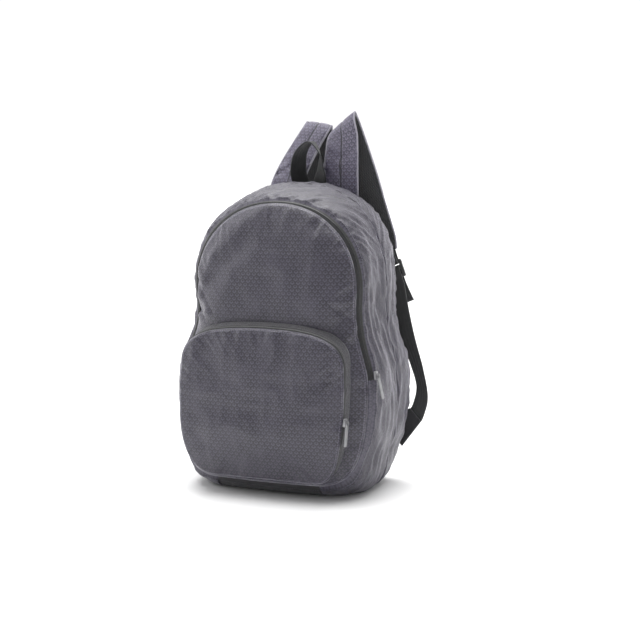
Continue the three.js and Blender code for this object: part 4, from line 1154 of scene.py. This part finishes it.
def build_strap(name, side, stations, seed):
    rows = ribbon(*strap_path(stations), 150, 16)
    across = np.linspace(0, 1, rows.shape[1])[None, :]
    run = run_length(rows[:, rows.shape[1] // 2])[:, None]
    away = np.minimum(across, 1 - across) * STRAP_WIDTH
    crown = STRAP_CROWN * (1 - np.abs(2 * across - 1) ** 3)
    crushed = crumple(run, away, pitch=11, depth=2.0, seed=seed + 2)
    crushed = crushed * np.exp(-(((run - CRUSH_PLACE) / CRUSH_REACH) ** 2))
    ripple = puckers(run, away, pitch=9, reach=12, depth=1.3, seed=seed) + crushed
    free = ease((run - STRAP_SEWN) / 20) * ease((run[-1] - run) / 30)
    ditch = STRAP_DITCH * np.exp(-(((across - 0.5) * STRAP_WIDTH / STRAP_DITCH_HALF) ** 2)) * free
    top = lifted(rows, (crown + ripple) * free - ditch)
    ribbon_object(f"strap_cloth_{name}", top, STRAP_PRINT_PAINTED_LIGHT, side, WEBBING_WALL, f"strap_{name}")
    lining = lifted(rows, -STRAP_CLOTH - LAYER_GAP)
    ribbon_object(f"strap_pad_{name}", lining, MESH, side, STRAP_PAD, f"strap_lining_{name}")
    middle = lifted(rows, -(STRAP_CLOTH + LAYER_GAP) / 2)
    for tag, column in (("inner", 0), ("outer", -1)):
        edge_cord(f"strap_binding_{tag}_{name}", middle[2:-1, column], side)
    lock, tab = lock_frame(stations), anchor_frame()
    ribbons = (
        ("lock_tab_webbing", transform(lock_tab_rows(), lock), WEBBING, WEBBING_WALL, "lock_tab"),
        ("strap_webbing", webbing_rows(lock, tab), WEBBING, WEBBING_WALL, "webbing"),
        ("strap_anchor_cloth", transform(anchor_rows(), tab), BLACK, SHEET_WALL, "strap_anchor"),
    )
    for piece, laid, look, wall, node in ribbons:
        ribbon_object(f"{piece}_{name}", laid, look, side, wall, f"{node}_{name}")


def build_haul_loop():
    places, ways = [], []
    for i, (along, back, up, turn) in enumerate(LOOP_STATIONS):
        angle = math.radians(turn)
        side = 1 if i < len(LOOP_STATIONS) / 2 - 1 else -1
        x, y = LOOP_SHIFT + along * LOOP_SPAN, LOOP_ROOT_Y + back * WEBBING_WIDTH
        places.append((x, y, BACK_TOP + up * LOOP_RISE))
        ways.append(np.array([side * math.cos(angle), math.sin(angle), 0]) * RIBBON_WIDTH)
    ribbon_object("haul_loop_webbing", ribbon(places, ways, 90, 8), WEBBING, 1, LOOP_WALL, "haul_loop")


def dress_hard_node(name, material, round_edge):
    """Gives a rigid solid rounded edges and its finish."""
    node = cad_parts[name]
    node.data.materials.clear()
    node.data.materials.append(material)
    weld = node.modifiers.new("weld", "WELD")
    weld.merge_threshold = 0.00002
    bevel = node.modifiers.new("round", "BEVEL")
    bevel.width = round_edge / 1000
    bevel.segments = 2
    bevel.limit_method = "ANGLE"
    bevel.angle_limit = math.radians(40)


build_front()
build_gusset()
build_base()
build_back()
build_main_zip()
build_pocket_face()
build_pocket_side()
build_strap("right", 1, RIGHT_STATIONS, 71)
build_strap("left", -1, LEFT_STATIONS, 81)
build_haul_loop()
for hard in ("main_zip_slider", "main_zip_pull", "pocket_zip_slider", "pocket_zip_pull"):
    dress_hard_node(hard, METAL, 0.25)
for hard in ("ladder_lock_right", "ladder_lock_left"):
    dress_hard_node(hard, PLASTIC, 0.5)


def declare_cloth():
    """Lists how each sheet is held, what it lies on and what is sewn to it, and does nothing further with the
    list.
    """

    def zip_parts(name):
        return [f"{name}_zip_tape", f"{name}_zip_coil"]

    sheets = [
        ("front_cloth", "stretched", ["gusset_front_cloth", "main_zip_tape"], []),
        ("gusset_front_cloth", "stretched", ["gusset_rear_cloth", "base_cloth"], zip_parts("main")),
        ("gusset_rear_cloth", "stretched", ["back_cloth", "base_cloth"], []),
        ("base_cloth", "laid", ["floor"], []),
        ("back_cloth", "stretched", ["gusset_rear_cloth"], []),
        ("pocket_face_cloth", "stretched", ["pocket_gusset_cloth"], zip_parts("pocket")),
        ("pocket_gusset_cloth", "stretched", ["front_cloth"], []),
        ("haul_loop_webbing", "folded", ["back_cloth"], []),
    ]
    for side in ("right", "left"):
        bindings = [f"strap_binding_{tag}_{side}" for tag in ("inner", "outer")]
        sheets += [
            (f"strap_cloth_{side}", "folded", [f"strap_pad_{side}"], bindings),
            (f"lock_tab_webbing_{side}", "folded", [f"ladder_lock_{side}"], []),
            (f"strap_webbing_{side}", "hung", [f"ladder_lock_{side}", f"strap_anchor_cloth_{side}"], []),
            (f"strap_anchor_cloth_{side}", "stretched", ["back_cloth"], []),
        ]


def add_facing(name, data, place, aim):
    """A camera or light at a place, turned towards another."""
    item = bpy.data.objects.new(name, data)
    item.location = place
    item.rotation_euler = (Vector(aim) - Vector(place)).to_track_quat("-Z", "Y").to_euler()
    scene.collection.objects.link(item)
    return item


def build_stage():
    """A plain pale floor that runs far back, and soft studio light."""
    size = 12.0
    data = bpy.data.meshes.new("floor")
    corners = [(-size, -size, 0), (size, -size, 0), (size, size, 0), (-size, size, 0)]
    data.from_pydata(corners, [], [(0, 1, 2, 3)])
    pale = Finish("floor_paper", Roughness=0.7)
    pale.colour(pale.blend(pale.cloud(0.002, 4), (0.86, 0.86, 0.86), (0.90, 0.90, 0.90)))
    data.materials.append(pale.material)
    floor = bpy.data.objects.new("floor", data)
    scene.collection.objects.link(floor)
    build_world()
    key = bpy.data.lights.new("key", "SUN")
    key.energy = SUN_STRENGTH
    key.angle = math.radians(SUN_SPREAD)
    add_facing("key", key, SUN_FROM, (0, 0, 0))
    softbox = bpy.data.lights.new("left_softbox", "AREA")
    softbox.size = 1.0
    softbox.energy = SOFTBOX_POWER
    add_facing("left_softbox", softbox, SOFTBOX_PLACE, SOFTBOX_AIM)


def build_world():
    """Even light that is bright from behind and the left, and weak from in front."""
    world = bpy.data.worlds.new("studio")
    world.use_nodes = True
    tree = world.node_tree
    way = tree.nodes.new("ShaderNodeTexCoord")
    behind = tree.nodes.new("ShaderNodeVectorMath")
    behind.operation = "DOT_PRODUCT"
    behind.inputs[1].default_value = BRIGHT_SIDE
    level = tree.nodes.new("ShaderNodeMapRange")
    level.interpolation_type = "SMOOTHSTEP"
    for socket, value in {"From Min": -0.7, "From Max": 0.25, "To Min": 0.28, "To Max": 1.06}.items():
        level.inputs[socket].default_value = value
    tree.links.new(way.outputs["Generated"], behind.inputs[0])
    tree.links.new(behind.outputs["Value"], level.inputs["Value"])
    tree.links.new(level.outputs["Result"], tree.nodes["Background"].inputs["Strength"])
    tree.nodes["Background"].inputs["Color"].default_value = (1, 1, 1, 1)
    scene.world = world


def build_camera():
    data = bpy.data.cameras.new("camera")
    data.lens = CAMERA_LENS
    data.sensor_width = SENSOR_WIDTH
    scene.camera = add_facing("camera", data, CAMERA_EYE, CAMERA_AIM)


declare_cloth()
build_stage()
build_camera()
scene.view_settings.view_transform = "Standard"
